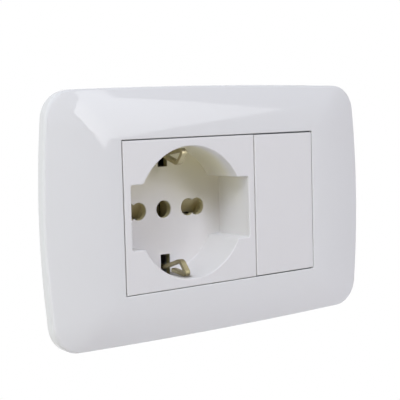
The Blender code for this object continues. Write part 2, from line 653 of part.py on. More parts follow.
def make_shutter(workshop: Workshop) -> bpy.types.Object:
    """Makes the shutter: a plate with ramps, two double windows below them and a middle slot."""
    plate = centred_box(SOCKET_X, SHUTTER_HALF_X, SHUTTER_FRONT, SHUTTER_BACK, SHUTTER_BOTTOM, SHUTTER_TOP)
    slot = centred_box(SOCKET_X, SHUTTER_SLOT_HALF, SHUTTER_FRONT - BITE, SHUTTER_BACK + BITE,
                       SHUTTER_BOTTOM - BITE, SHUTTER_SLOT_HALF)
    cut(plate, workshop, slot)
    ramp_low = -SHUTTER_TRAVEL + WINDOW_RADIUS - BITE
    ramp_high = PIN_HOLE_RADIUS + SHUTTER_WINDOW_MARGIN
    ramp_back = SHUTTER_BACK - SHUTTER_RAMP_EDGE
    for side in (-1, 1):
        near = NARROW_PIN_PITCH / 2 - WINDOW_RADIUS
        far = WIDE_PIN_PITCH / 2 + WINDOW_RADIUS
        bm = bmesh.new()
        profile = [(SHUTTER_FRONT - BITE, ramp_low), (ramp_back, ramp_low), (SHUTTER_FRONT - BITE, ramp_high)]
        face = bm.faces.new([bm.verts.new((SOCKET_X + side * near, y, z)) for y, z in profile])
        grown = bmesh.ops.extrude_face_region(bm, geom=[face])
        moved = [item for item in grown["geom"] if isinstance(item, bmesh.types.BMVert)]
        bmesh.ops.translate(bm, vec=(side * (far - near), 0, 0), verts=moved)
        bmesh.ops.recalc_face_normals(bm, faces=bm.faces)
        cut(plate, workshop, from_bmesh("ramp", bm))
    for x, z in pin_columns():
        if x != SOCKET_X:
            cut(plate, workshop, rod_y(WINDOW_RADIUS, x, z - SHUTTER_TRAVEL, SHUTTER_FRONT - BITE,
                                       SHUTTER_BACK + BITE))
    peg = rod(SPRING_PEG_RADIUS, (SOCKET_X + SPRING_X, SPRING_Y, SHUTTER_TOP - BITE),
              (SOCKET_X + SPRING_X, SPRING_Y, SHUTTER_TOP + SPRING_PEG_HEIGHT), SEGMENTS_SMALL)
    fuse(plate, workshop, peg)
    return workshop.part(plate, "shutter", workshop.material("shutter_beige", (0.62, 0.58, 0.47), 0.45))


def make_shutter_spring(workshop: Workshop) -> bpy.types.Object:
    """Makes the shutter's coil spring, standing on the shutter's bridge."""
    curve = bpy.data.curves.new("spring", "CURVE")
    curve.dimensions = "3D"
    curve.bevel_depth = SPRING_WIRE / 2
    curve.bevel_resolution = 1
    curve.use_fill_caps = True
    total = SPRING_TURNS * SPRING_STEPS
    height = SPRING_TOP - SPRING_BOTTOM - SPRING_WIRE
    spline = curve.splines.new("POLY")
    spline.points.add(total)
    for index, point in enumerate(spline.points):
        angle = 2 * pi * index / SPRING_STEPS
        point.co = (SPRING_RADIUS * cos(angle), SPRING_RADIUS * sin(angle), height * index / total, 1)
    coil = bpy.data.objects.new("spring", curve)
    coil.matrix_world = Matrix.Translation((SOCKET_X + SPRING_X, SPRING_Y, SPRING_BOTTOM + SPRING_WIRE / 2))
    steel = workshop.material("spring_steel", (0.55, 0.55, 0.56), 0.3, 1.0)
    return workshop.part(mesh_of(coil), "shutter_spring", steel)


def clip_path() -> list[Point2]:
    """Returns half of the earth strip, from its middle out to the clip's turned-back end."""
    depth = FACE_FRONT
    corners = [
        (BRACKET_MIDDLE, 0.0),
        (BRACKET_MIDDLE, WELL_RADIUS - CLIP_ARM_INSET),
        (FLOOR_FRONT, WELL_RADIUS - CLIP_ARM_INSET),
        (depth + CLIP_APEX_DEPTH, WELL_RADIUS - CLIP_APEX_INSET),
        (depth + CLIP_END_DEPTH, WELL_RADIUS - CLIP_END_INSET),
        (depth + CLIP_RETURN_DEPTH, WELL_RADIUS - CLIP_RETURN_INSET),
    ]
    return bent_path(corners, CLIP_BEND)


def make_earth_bracket(workshop: Workshop, brass: bpy.types.Material) -> bpy.types.Object:
    """Makes the earth strip in one piece: both side clips and the plate behind the shutter."""
    half = clip_path()
    path = [(y, -z - CLIP_DROP) for y, z in reversed(half)] + [(y, z - CLIP_DROP) for y, z in half[1:]]
    bracket = strip(path, SOCKET_X, CLIP_WIDTH, BRACKET_THICKNESS)
    plate = centred_box(SOCKET_X, BRACKET_WIDTH / 2, BRACKET_FRONT, BRACKET_FRONT + BRACKET_THICKNESS,
                        -BRACKET_BOTTOM, BRACKET_TOP)
    fuse(bracket, workshop, plate)
    cut(bracket, workshop,
        rod_y(BRACKET_HOLE_RADIUS, SOCKET_X, 0, BRACKET_FRONT - BITE, EARTH_PLATE_FRONT),
        rod_y(RIVET_RADIUS + CLEARANCE, SOCKET_X, RIVET_Z, BRACKET_FRONT - BITE, EARTH_PLATE_FRONT,
              SEGMENTS_SMALL))
    return workshop.part(bracket, "earth_bracket", brass)


def make_earth_pin_contact(workshop: Workshop, brass: bpy.types.Material) -> bpy.types.Object:
    """Makes the middle contact: a split tube on a plate whose tab runs down to the earth terminal."""
    plate_y = EARTH_PLATE_FRONT + STRIP_THICKNESS / 2
    tab_y = TAB_DEPTH + STRIP_THICKNESS / 2
    corners = [(plate_y, EARTH_PLATE_TOP), (plate_y, -EARTH_PLATE_BOTTOM),
               (tab_y, -EARTH_PLATE_BOTTOM), (tab_y, -TAB_BOTTOM)]
    contact = strip(bent_path(corners, CLIP_BEND), SOCKET_X, TAB_WIDTH)
    fuse(contact, workshop,
         rod_y(EARTH_TUBE_RADIUS, SOCKET_X, 0, EARTH_PLATE_FRONT + BITE, EARTH_TUBE_BACK))
    split = centred_box(SOCKET_X, EARTH_TUBE_SPLIT / 2, EARTH_PLATE_BACK + BITE, EARTH_TUBE_BACK + BITE,
                        -EARTH_TUBE_RADIUS - BITE, EARTH_TUBE_RADIUS + BITE)
    cut(contact, workshop,
        rod_y(EARTH_TUBE_BORE, SOCKET_X, 0, EARTH_PLATE_FRONT - BITE, EARTH_TUBE_BACK + BITE),
        split,
        rod_y(RIVET_RADIUS + CLEARANCE, SOCKET_X, RIVET_Z, EARTH_PLATE_FRONT - BITE, EARTH_PLATE_BACK + BITE,
              SEGMENTS_SMALL),
        terminal_hole(SOCKET_X))
    return workshop.part(contact, "earth_pin_contact", brass)


def terminal_hole(x: float) -> bpy.types.Object:
    """Returns the cutter for a terminal screw's hole in its tab and clamp plate."""
    return rod_y(TERMINAL_SCREW_RADIUS + CLEARANCE, x, -TERMINAL_SCREW_Z, TAB_DEPTH - BITE, CLAMP_BACK + BITE,
                 SEGMENTS_SMALL)


def make_earth_rivet(workshop: Workshop) -> bpy.types.Object:
    """Makes the rivet through the earth strip and the middle contact's plate."""
    front = BRACKET_FRONT - CLEARANCE
    back = EARTH_PLATE_BACK + CLEARANCE
    rivet = rod_y(RIVET_RADIUS, SOCKET_X, RIVET_Z, front - BITE / 2, back + BITE / 2, SEGMENTS_SMALL)
    fuse(rivet, workshop,
         rod_y(RIVET_HEAD_RADIUS, SOCKET_X, RIVET_Z, front - RIVET_HEAD, front, SEGMENTS_SMALL),
         rod_y(RIVET_HEAD_RADIUS, SOCKET_X, RIVET_Z, back, back + RIVET_HEAD, SEGMENTS_SMALL))
    return workshop.part(rivet, "earth_rivet", workshop.material("rivet_brass", (0.66, 0.55, 0.30), 0.3, 1.0))


def make_line_contact(workshop: Workshop, brass: bpy.types.Material, name: str,
                      side: int) -> bpy.types.Object:
    """Makes a line contact: a fork as wide as both pin positions, with a tab to its terminal."""
    x = SOCKET_X + side * TERMINAL_PITCH
    fork_corners = [
        (CONTACT_FRONT, CONTACT_MOUTH_Z), (CONTACT_GRIP, CONTACT_GRIP_Z), (CONTACT_BACK, CONTACT_GRIP_Z),
        (CONTACT_BACK, -CONTACT_GRIP_Z), (CONTACT_GRIP, -CONTACT_GRIP_Z), (CONTACT_FRONT, -CONTACT_MOUTH_Z),
    ]
    fork = strip(bent_path(fork_corners, CLIP_BEND), x, CONTACT_SPAN)
    tab = centred_box(x, TAB_WIDTH / 2, TAB_DEPTH, TAB_BACK, -TAB_BOTTOM, -CONTACT_GRIP_Z)
    fuse(fork, workshop, tab)
    cut(fork, workshop, terminal_hole(x))
    return workshop.part(fork, name, brass)


def drive_slot(x: float, z: float, radius: float, depth: float, into: float) -> bpy.types.Object:
    """Returns the cutter for a screw's straight slot, from a head's end face at depth towards into."""
    front, back = sorted((depth, into))
    return centred_box(x, radius + BITE, front, back, z - DRIVE_SLOT_WIDTH / 2, z + DRIVE_SLOT_WIDTH / 2)


def make_terminal(workshop: Workshop, pole: str, x: float) -> list[bpy.types.Object]:
    """Makes one terminal's clamp plate and the screw that draws it to the tab."""
    z = -TERMINAL_SCREW_Z
    clamp = centred_box(x, TAB_WIDTH / 2, CLAMP_FRONT, CLAMP_BACK, z - CLAMP_HEIGHT / 2, z + CLAMP_HEIGHT / 2)
    cut(clamp, workshop, terminal_hole(x))
    head_back = HEAD_FRONT + TERMINAL_SCREW_HEAD
    screw = rod_y(TERMINAL_SCREW_HEAD_RADIUS, x, z, HEAD_FRONT, head_back)
    fuse(screw, workshop, rod_y(TERMINAL_SCREW_RADIUS, x, z, TAB_DEPTH - TERMINAL_SCREW_TIP,
                                HEAD_FRONT + BITE, SEGMENTS_SMALL))
    cut(screw, workshop, drive_slot(x, z, TERMINAL_SCREW_HEAD_RADIUS, head_back + BITE,
                                    head_back - DRIVE_SLOT_DEPTH))
    zinc = workshop.material("zinc_steel", (0.60, 0.60, 0.58), 0.35, 1.0)
    return [workshop.part(clamp, pole + "_clamp_plate", zinc),
            workshop.part(screw, pole + "_terminal_screw", zinc)]


def cell_walls(x: float, half: float, front: float, bottom: float, top: float) -> list[bpy.types.Object]:
    """Returns two insulating walls, left and right of x, that run forward from the housing's back."""
    return [centred_box(x + side * (half + CLEARANCE + CELL_WALL / 2), CELL_WALL / 2, front,
                        HOUSING_INNER_BACK + BITE, bottom, top) for side in (-1, 1)]


def make_rear_housing(workshop: Workshop) -> bpy.types.Object:
    """Makes the insulating rear housing, with its contact cells, screw columns and wire entries."""
    housing = centred_box(SOCKET_X, HOUSING_HALF_X, HOUSING_FRONT, HOUSING_BACK,
                          -HOUSING_HALF_Z, HOUSING_HALF_Z)
    inside = centred_box(SOCKET_X, HOUSING_HALF_X - BODY_WALL, HOUSING_FRONT - BITE, HOUSING_INNER_BACK,
                         -HOUSING_HALF_Z + BODY_WALL, HOUSING_HALF_Z - BODY_WALL)
    cut(housing, workshop, inside)
    wall_bottom = -HOUSING_HALF_Z + BODY_WALL - BITE
    fork_half_z = CONTACT_GRIP_Z + STRIP_THICKNESS
    walls = cell_walls(SOCKET_X, TAB_WIDTH / 2, EARTH_PLATE_BACK + CLEARANCE, wall_bottom, EARTH_PLATE_TOP)
    terminals = [SOCKET_X + side * TERMINAL_PITCH for side in (-1, 0, 1)]
    for x in (terminals[0], terminals[2]):
        walls += cell_walls(x, TAB_WIDTH / 2, CELL_FRONT, wall_bottom, -CELL_TOP)
        walls += cell_walls(x, CONTACT_SPAN / 2, SHUTTER_BACK + CLEARANCE, -fork_half_z, fork_half_z)
    column_radius = HOUSING_SCREW_HEAD_RADIUS + CLEARANCE + CELL_WALL
    columns = [rod_y(column_radius, x, z, HOUSING_FRONT, HOUSING_BACK - BITE)
               for x, z in housing_screw_places()]
    trims = [column_trim(side) for side in (1, -1)]
    for column, trim in zip(columns, trims):
        combine(column, "INTERSECT", [trim], workshop)
    fuse(housing, workshop, *walls, *columns)
    cutters = []
    for x in terminals:
        cutters.append(rod_y(TERMINAL_SCREW_HEAD_RADIUS + CLEARANCE, x, -TERMINAL_SCREW_Z,
                             HOUSING_INNER_BACK - BITE, HOUSING_BACK + BITE))
        cutters.append(box((x - WIRE_ENTRY_WIDTH / 2, TAB_BACK + CLEARANCE, -HOUSING_HALF_Z - BITE),
                           (x + WIRE_ENTRY_WIDTH / 2, TAB_BACK + CLEARANCE + WIRE_ENTRY_DEPTH,
                            -HOUSING_HALF_Z + BODY_WALL + BITE)))
    seat = HOUSING_SCREW_SEAT
    for x, z in housing_screw_places():
        cutters.append(rod_y(HOUSING_SCREW_RADIUS + CLEARANCE, x, z, HOUSING_FRONT - BITE,
                             HOUSING_BACK + BITE, SEGMENTS_SMALL))
        cutters.append(rod_y(HOUSING_SCREW_HEAD_RADIUS + CLEARANCE, x, z, seat, HOUSING_BACK + BITE))
    cut(housing, workshop, *cutters)
    grey = workshop.material("housing_grey", (0.70, 0.70, 0.70), 0.5)
    return workshop.part(housing, "socket_rear_housing", grey)


def column_trim(side: int) -> bpy.types.Object:
    """Returns the corner block that keeps a screw column inside the housing's outer walls."""
    inner_x, outer_x = sorted((SOCKET_X, SOCKET_X + side * (HOUSING_HALF_X - BITE)))
    inner_z, outer_z = sorted((0.0, side * (HOUSING_HALF_Z - BITE)))
    return box((inner_x, HOUSING_FRONT - BITE, inner_z), (outer_x, HOUSING_BACK + BITE, outer_z))


def make_housing_screw(workshop: Workshop, name: str, place: Point2) -> bpy.types.Object:
    """Makes a screw that draws the rear housing to the module front."""
    x, z = place
    front = HOUSING_SCREW_SEAT + CLEARANCE
    back = front + HOUSING_SCREW_HEAD
    screw = rod_y(HOUSING_SCREW_HEAD_RADIUS, x, z, front, back)
    shank = rod_y(HOUSING_SCREW_RADIUS, x, z, front - HOUSING_SCREW_LENGTH, front + BITE, SEGMENTS_SMALL)
    fuse(screw, workshop, shank)
    cut(screw, workshop, drive_slot(x, z, HOUSING_SCREW_HEAD_RADIUS, back + BITE, back - DRIVE_SLOT_DEPTH))
    return workshop.part(screw, name, workshop.material("zinc_steel", (0.60, 0.60, 0.58), 0.35, 1.0))


def make_frame_screw(workshop: Workshop, name: str, side: int) -> bpy.types.Object:
    """Makes a screw that holds the mounting frame to the wall box."""
    x = side * FRAME_SCREW_X
    back = -FRAME_THICKNESS - CLEARANCE
    front = back - FRAME_SCREW_HEAD
    screw = rod_y(FRAME_SCREW_HEAD_RADIUS, x, 0, front, back)
    shank = rod_y(FRAME_SCREW_RADIUS, x, 0, back - BITE, back + FRAME_SCREW_LENGTH, SEGMENTS_SMALL)
    fuse(screw, workshop, shank)
    cut(screw, workshop, drive_slot(x, 0, FRAME_SCREW_HEAD_RADIUS, front - BITE, front + DRIVE_SLOT_DEPTH))
    return workshop.part(screw, name, workshop.material("zinc_steel", (0.60, 0.60, 0.58), 0.35, 1.0))


def make_blank_module(workshop: Workshop) -> bpy.types.Object:
    """Makes the one-module blank cover: face, hollow skirt and two stiffening ribs."""
    half_x = BLANK_FACE_WIDTH / 2 - BODY_SIDE_STEP
    blank = face_slab(BLANK_X, BLANK_FACE_WIDTH, BLANK_FACE_HEIGHT)
    skirt = centred_box(BLANK_X, half_x, FACE_BACK - BITE, BLANK_BACK, -BODY_HEIGHT / 2, BODY_HEIGHT / 2)
    hollow = centred_box(BLANK_X, half_x - BLANK_WALL, FACE_BACK, BLANK_BACK + BITE,
                         -BODY_HEIGHT / 2 + BLANK_WALL, BODY_HEIGHT / 2 - BLANK_WALL)
    fuse(blank, workshop, skirt)
    cut(blank, workshop, hollow)
    rib_z = BODY_HEIGHT * BLANK_RIB_SHARE
    ribs = [centred_box(BLANK_X, half_x - BLANK_WALL + BITE, FACE_BACK - BITE, FACE_BACK + BLANK_RIB_DEPTH,
                        side * rib_z - BLANK_RIB / 2, side * rib_z + BLANK_RIB / 2)
            for side in (-1, 1)]
    fuse(blank, workshop, *ribs, *snap_wedges(BLANK_X))
    return workshop.part(blank, "blank_module", workshop.material("satin_white", (0.76, 0.76, 0.78), 0.38))


def smooth(obj: bpy.types.Object, limit: float = pi / 5) -> None:
    """Shades an object smooth, with its sharp edges kept."""
    obj.data.shade_smooth()
    obj.data.set_sharp_from_angle(angle=limit)


def main() -> None:
    """Clears the scene and makes every piece of the socket."""
    for obj in list(bpy.data.objects):
        bpy.data.objects.remove(obj)
    workshop = Workshop("schuko_socket")
    brass = workshop.material("brass", (0.62, 0.55, 0.34), 0.3, 1.0)
    make_cover_plate(workshop)
    make_mounting_frame(workshop)
    make_socket_front(workshop)
    make_rear_housing(workshop)
    make_shutter(workshop)
    make_shutter_spring(workshop)
    make_earth_bracket(workshop, brass)
    make_earth_pin_contact(workshop, brass)
    make_earth_rivet(workshop)
    make_line_contact(workshop, brass, "phase_contact", 1)
    make_line_contact(workshop, brass, "neutral_contact", -1)
    for pole, side in (("phase", 1), ("neutral", -1), ("earth", 0)):
        make_terminal(workshop, pole, SOCKET_X + side * TERMINAL_PITCH)
    for name, place in zip(("housing_screw_upper", "housing_screw_lower"), housing_screw_places()):
        make_housing_screw(workshop, name, place)
    for name, side in (("frame_screw_left", -1), ("frame_screw_right", 1)):
        make_frame_screw(workshop, name, side)
    make_blank_module(workshop)
    for obj in workshop.parts.objects:
        smooth(obj)


main()
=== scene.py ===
"""Dresses the flush wall socket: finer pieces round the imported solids, finishes, lights and camera.

Metres, +Z up. The front faces -Y and the wall plane is y = 0. A depth is a Y value: negative in front
of the wall. Angles in dataclass fields are degrees.
"""

import logging
from dataclasses import dataclass
from enum import Enum
from math import acos, asin, atan2, cos, pi, radians, sin, tan
from typing import Callable, Optional, Sequence

import bmesh
import bpy
from mathutils import Matrix, Vector


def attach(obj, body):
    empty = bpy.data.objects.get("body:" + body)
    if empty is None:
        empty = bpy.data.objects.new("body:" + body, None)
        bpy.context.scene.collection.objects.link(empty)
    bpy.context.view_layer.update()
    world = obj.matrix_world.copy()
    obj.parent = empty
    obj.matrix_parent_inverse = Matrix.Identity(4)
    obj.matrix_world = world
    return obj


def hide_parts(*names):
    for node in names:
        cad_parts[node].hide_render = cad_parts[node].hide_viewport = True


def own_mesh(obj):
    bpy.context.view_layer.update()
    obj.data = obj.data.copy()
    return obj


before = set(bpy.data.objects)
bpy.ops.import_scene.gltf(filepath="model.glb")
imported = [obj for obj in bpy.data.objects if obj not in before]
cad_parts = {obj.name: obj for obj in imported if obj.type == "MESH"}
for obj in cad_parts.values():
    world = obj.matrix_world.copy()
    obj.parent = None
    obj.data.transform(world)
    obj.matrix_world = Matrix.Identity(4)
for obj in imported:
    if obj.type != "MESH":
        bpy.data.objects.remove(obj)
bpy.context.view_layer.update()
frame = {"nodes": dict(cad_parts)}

Point2 = tuple[float, float]
Point3 = tuple[float, float, float]
Colour = tuple[float, float, float]

log = logging.getLogger("socket")


class Body(Enum):
    """The moving bodies that a piece can ride on."""

    FITTING = "fitting"
    SLIDER = "shutter_slider"


class Slot(Enum):
    """The record's material slots."""

    GLOSS_WHITE = "gloss_white"
    SATIN_WHITE = "satin_white"
    FRAME_GREY = "frame_grey"
    HOUSING_GREY = "housing_grey"
    SHUTTER_BEIGE = "shutter_beige"
    SPRING_STEEL = "spring_steel"
    ZINC_STEEL = "zinc_steel"
    BRASS = "brass"


# Shader nodes


def operator(operation: str, reflected: bool = False) -> Callable[["Wire", object], "Wire"]:
    """Returns a method that adds a Math node on a wire and a value, with the value first if reflected."""

    def method(wire: "Wire", other: object) -> "Wire":
        """Adds the operator's Math node."""
        return wire.maths(operation, other, wire) if reflected else wire.maths(operation, wire, other)

    return method


class Wire:
    """A node's socket in Python expressions: each operator adds the Math node that it stands for."""

    def __init__(self, tree: bpy.types.NodeTree, socket: bpy.types.NodeSocket) -> None:
        """Keeps the socket and the tree that it is in."""
        self.tree = tree
        self.socket = socket

    def maths(self, operation: str, *values: object, clamp: bool = False) -> "Wire":
        """Adds a Math node.

        Args:
            operation: the node's operation.
            values: the node's inputs in order, as wires or numbers.
            clamp: whether the result is kept from 0 to 1.

        Returns:
            The node's result.
        """
        node = self.tree.nodes.new("ShaderNodeMath")
        node.operation = operation
        node.use_clamp = clamp
        for index, value in enumerate(values):
            if isinstance(value, Wire):
                self.tree.links.new(value.socket, node.inputs[index])
            else:
                node.inputs[index].default_value = value
        return Wire(self.tree, node.outputs[0])

    __add__ = operator("ADD")
    __radd__ = operator("ADD", reflected=True)
    __sub__ = operator("SUBTRACT")
    __rsub__ = operator("SUBTRACT", reflected=True)
    __mul__ = operator("MULTIPLY")
    __rmul__ = operator("MULTIPLY", reflected=True)
    __truediv__ = operator("DIVIDE")
    __rtruediv__ = operator("DIVIDE", reflected=True)
    __pow__ = operator("POWER")

    def above(self, limit: float) -> "Wire":
        """Returns 1 where the value is over the limit, and 0 elsewhere."""
        return self.maths("GREATER_THAN", self, limit)

    def clamped(self) -> "Wire":
        """Returns the value kept from 0 to 1."""
        return self.maths("ADD", self, 0.0, clamp=True)

    def ramp(self, start: float, gain: float) -> "Wire":
        """Returns 0 up to a start and then a rise by the gain, as far as 1."""
        return ((self - start) * gain).clamped()


class Bench:
    """Builds one node tree: any node comes from its add method."""

    def __init__(self, tree: bpy.types.NodeTree) -> None:
        """Empties the tree and keeps it."""
        self.tree = tree
        tree.nodes.clear()

    def add(self, kind: str, settings: Optional[dict[str, object]] = None,
            inputs: Optional[dict[object, object]] = None) -> bpy.types.Node:
        """Adds a node.

        Args:
            kind: the node's type.
            settings: attributes of the node, set before its inputs.
            inputs: wires, lists of wires or plain values, by the input's name or index.

        Returns:
            The new node.
        """
        node = self.tree.nodes.new(kind)
        for name, value in (settings or {}).items():
            setattr(node, name, value)
        for key, value in (inputs or {}).items():
            if isinstance(value, (Wire, list)):
                for wire in value if isinstance(value, list) else [value]:
                    self.tree.links.new(wire.socket, node.inputs[key])
            else:
                node.inputs[key].default_value = value
        return node

    def wire(self, node: bpy.types.Node, output: object = 0) -> Wire:
        """Returns one of a node's outputs as a wire."""
        return Wire(self.tree, node.outputs[output])


class ShaderBench(Bench):
    """Builds a shader's tree, with textures on Object coordinates."""

    def place(self, stretch: Point3 = (1.0, 1.0, 1.0)) -> Wire:
        """Returns Object coordinates, stretched along the axes."""
        coordinates = self.wire(self.add("ShaderNodeTexCoord"), "Object")
        if stretch == (1.0, 1.0, 1.0):
            return coordinates
        return self.wire(self.add("ShaderNodeMapping", inputs={"Vector": coordinates, "Scale": stretch}))

    def axes(self) -> list[Wire]:
        """Returns the X, Y and Z of Object coordinates."""
        parts = self.add("ShaderNodeSeparateXYZ", inputs={"Vector": self.place()})
        return [self.wire(parts, axis) for axis in range(3)]

    def noise(self, per_metre: float, detail: float, stretch: Point3 = (1.0, 1.0, 1.0),
              rough: float = 0.5) -> Wire:
        """Adds noise on Object coordinates.

        Args:
            per_metre: how many grains there are in a metre.
            detail: the octaves.
            stretch: the scale of each axis.
            rough: the weight of the finer octaves.

        Returns:
            The noise, from 0 to 1 about a middle of 0.5.
        """
        return self.wire(self.add("ShaderNodeTexNoise", inputs={
            "Vector": self.place(stretch), "Scale": per_metre, "Detail": detail, "Roughness": rough}))

    def cells(self, per_metre: float) -> Wire:
        """Returns the distance to the nearest of scattered points, in cells."""
        inputs = {"Vector": self.place(), "Scale": per_metre}
        return self.wire(self.add("ShaderNodeTexVoronoi", {"feature": "F1"}, inputs), "Distance")

    def mix(self, factor: Wire, first: object, second: object) -> Wire:
        """Mixes two colours, each a wire or plain, by a factor, and returns the result."""
        colours = [value if isinstance(value, Wire) else (*value, 1.0) for value in (first, second)]
        settings = {"data_type": "RGBA", "blend_type": "MIX", "clamp_factor": True}
        return self.wire(self.add("ShaderNodeMix", settings, {0: factor, 6: colours[0], 7: colours[1]}), 2)

    def bump(self, height: Wire, depth: float) -> Wire:
        """Returns the normal that a height makes, where a height of 1 is depth metres."""
        return self.wire(self.add("ShaderNodeBump", inputs={
            "Height": height, "Distance": depth, "Strength": 1.0}))

    def seen(self) -> Wire:
        """Returns 1 for what is seen, mirrored or seen through, and 0 for the light that it gives."""
        path = self.add("ShaderNodeLightPath")
        kinds = ("Is Camera Ray", "Is Glossy Ray", "Is Transmission Ray")
        camera, glossy, through = (self.wire(path, kind) for kind in kinds)
        return (camera + glossy + through).clamped()


@dataclass(frozen=True)
class Finish:
    """A finish of one material slot. Each kind of finish fills in its shader's sockets."""

    name: str
    slot: Slot
    colour: Colour
    roughness: float

    def material(self) -> bpy.types.Material:
        """Returns the finish as a material, built at its first use."""
        found = bpy.data.materials.get(self.name)
        if found:
            return found
        made = bpy.data.materials.new(self.name)
        made.use_nodes = True
        bench = ShaderBench(made.node_tree)
        shader = bench.add("ShaderNodeBsdfPrincipled", inputs=self.sockets(bench))
        bench.add("ShaderNodeOutputMaterial", inputs={"Surface": bench.wire(shader)})
        return made

    def sockets(self, bench: ShaderBench) -> dict[str, object]:
        """Returns the shader's inputs by name."""
        raise NotImplementedError


@dataclass(frozen=True)
class MouldedPlastic(Finish):
    """Injection-moulded plastic: faint flow in its colour, an even grain, and a few handling marks."""

    flow_colour: Colour
    grain_per_metre: float
    grain_depth: float
    spread: float = 0.04
    index: float = 1.49
    flow_per_metre: float = 24.0
    flow_stretch: Point3 = (1.0, 1.0, 0.45)
    flow_share: float = 0.75
    mottle_per_metre: float = 210.0
    tone_start: float = 0.3
    tone_gain: float = 2.2
    haze_per_metre: float = 420.0
    haze_stretch: Point3 = (0.2, 1.0, 1.0)
    haze_start: float = 0.62
    haze_gain: float = 6.0
    haze_share: float = 0.8
    grain_height: float = 0.7
    swell_per_metre: float = 70.0
    swell_height: float = 3.0

    def sockets(self, bench: ShaderBench) -> dict[str, object]:
        """Returns the plastic's inputs: flow in its colour, and grain in its roughness and normal."""
        flow = bench.noise(self.flow_per_metre, 3.0, self.flow_stretch)
        mottle = bench.noise(self.mottle_per_metre, 2.0)
        tone = flow * self.flow_share + mottle * (1.0 - self.flow_share)
        colour = bench.mix(tone.ramp(self.tone_start, self.tone_gain), self.colour, self.flow_colour)
        grain = bench.noise(self.grain_per_metre, 2.0, rough=0.6)
        swell = bench.noise(self.swell_per_metre, 1.0)
        haze = bench.noise(self.haze_per_metre, 4.0, self.haze_stretch).ramp(self.haze_start, self.haze_gain)
        rough = self.roughness + (grain - 0.5) * self.spread + haze * (self.spread * self.haze_share)
        return {
            "Base Color": self.tinted(bench, colour),
            "Roughness": rough.clamped(),
            "IOR": self.index,
            "Normal": bench.bump(grain * self.grain_height + swell * self.swell_height, self.grain_depth),
        }

    def tinted(self, bench: ShaderBench, colour: Wire) -> Wire:
        """Returns the colour as it is. A finish with a second colour in some places mixes it in here."""
        return colour


@dataclass(frozen=True)
class ModulePlastic(MouldedPlastic):
    """The modules' plastic, with painted shade: a warm, yellower tint in the well's upper part, and darker
    colours inside the floor's openings and the clip slots.
    """

    # Painted shade: colours painted on the pin holes' walls and in the clip slots, where shade falls.
    hole_colour: Colour = (0.640, 0.590, 0.350)
    deep_colour: Colour = (0.340, 0.310, 0.150)
    hole_front: float = 0.00885
    hole_gain: float = 3000.0
    hole_reach: float = 0.0216
    slot_reach: float = 0.0132
    axis_x: float = -0.01242
    # Painted shade: a warm colour painted over the well's upper part, and faintly by its right side, where
    # shade falls.
    warm_colour: Colour = (0.805, 0.780, 0.610)
    warm_front: float = -0.0045
    warm_gain: float = 250.0
    warm_x: float = 0.0115
    warm_rise: float = 52.0
    warm_narrowing: float = 7000.0
    warm_side: float = 0.25

    def tinted(self, bench: ShaderBench, colour: Wire) -> Wire:
        """Mixes in the painted warm shade of the well's upper part, and the painted shade on the holes' walls
        behind the floor's face and in the slots.
        """
        x, depth, height = bench.axes()
        across = x - self.axis_x
        # Painted shade: behind the floor's face and near the holes' axis, the holes' walls and the clip slots
        # are painted darker in place of their shade.
        behind = depth.ramp(self.hole_front, self.hole_gain)
        near = 1.0 - (across * across + height * height).above(self.hole_reach ** 2)
        in_slot = (height * height).above(self.slot_reach ** 2)
        inside = bench.mix(in_slot, self.hole_colour, self.deep_colour)
        # Painted shade: deeper than the face, the well's upper part and a band by its right side are painted
        # warmer and yellower.
        recessed = depth.ramp(self.warm_front, self.warm_gain)
        off = across - self.warm_x
        beside = (1.0 - off * off * self.warm_narrowing).clamped() * self.warm_side
        shaded_corner = (height * self.warm_rise + beside).clamped()
        with_warm_shade = bench.mix(shaded_corner * recessed, colour, self.warm_colour)
        return bench.mix(behind * near, with_warm_shade, inside)


@dataclass(frozen=True)
class SheetMetal(Finish):
    """Stamped or turned metal: rolling streaks, a dull film in patches, and fine pits."""

    film_colour: Colour
    streak: Point3
    streak_per_metre: float
    streak_depth: float
    low_film: float = 0.0
    low_gain: float = 60.0
    film_per_metre: float = 260.0
    film_start: float = 0.42
    film_gain: float = 3.0
    film_share: float = 0.65
    film_rough: float = 0.14
    streak_rough: float = 0.16
    streak_height: float = 0.8
    pits_per_metre: float = 1400.0
    pit_narrowing: float = 2.4
    pit_power: float = 3.0
    pit_height: float = 0.5

    def sockets(self, bench: ShaderBench) -> dict[str, object]:
        """Returns the metal's inputs: streaks, a film in patches, and a brushed normal."""
        streaks = bench.noise(self.streak_per_metre, 3.0, self.streak, 0.6)
        height = bench.axes()[2]
        # The film colour is mixed in more towards the bottom, below z = 0, so the lower clip is darker.
        low = (0.5 - height * self.low_gain).clamped() * self.low_film
        film = ((bench.noise(self.film_per_metre, 4.0) - self.film_start) * self.film_gain + low).clamped()
        pits = (1.0 - bench.cells(self.pits_per_metre) * self.pit_narrowing).clamped() ** self.pit_power
        tone = (film * self.film_share + streaks * (1.0 - self.film_share)).clamped()
        rough = self.roughness + (streaks - 0.5) * self.streak_rough + film * self.film_rough
        return {
            "Base Color": bench.mix(tone, self.colour, self.film_colour),
            "Metallic": 1.0,
            "Roughness": rough.clamped(),
            "Normal": bench.bump(streaks * self.streak_height - pits * self.pit_height, self.streak_depth),
        }


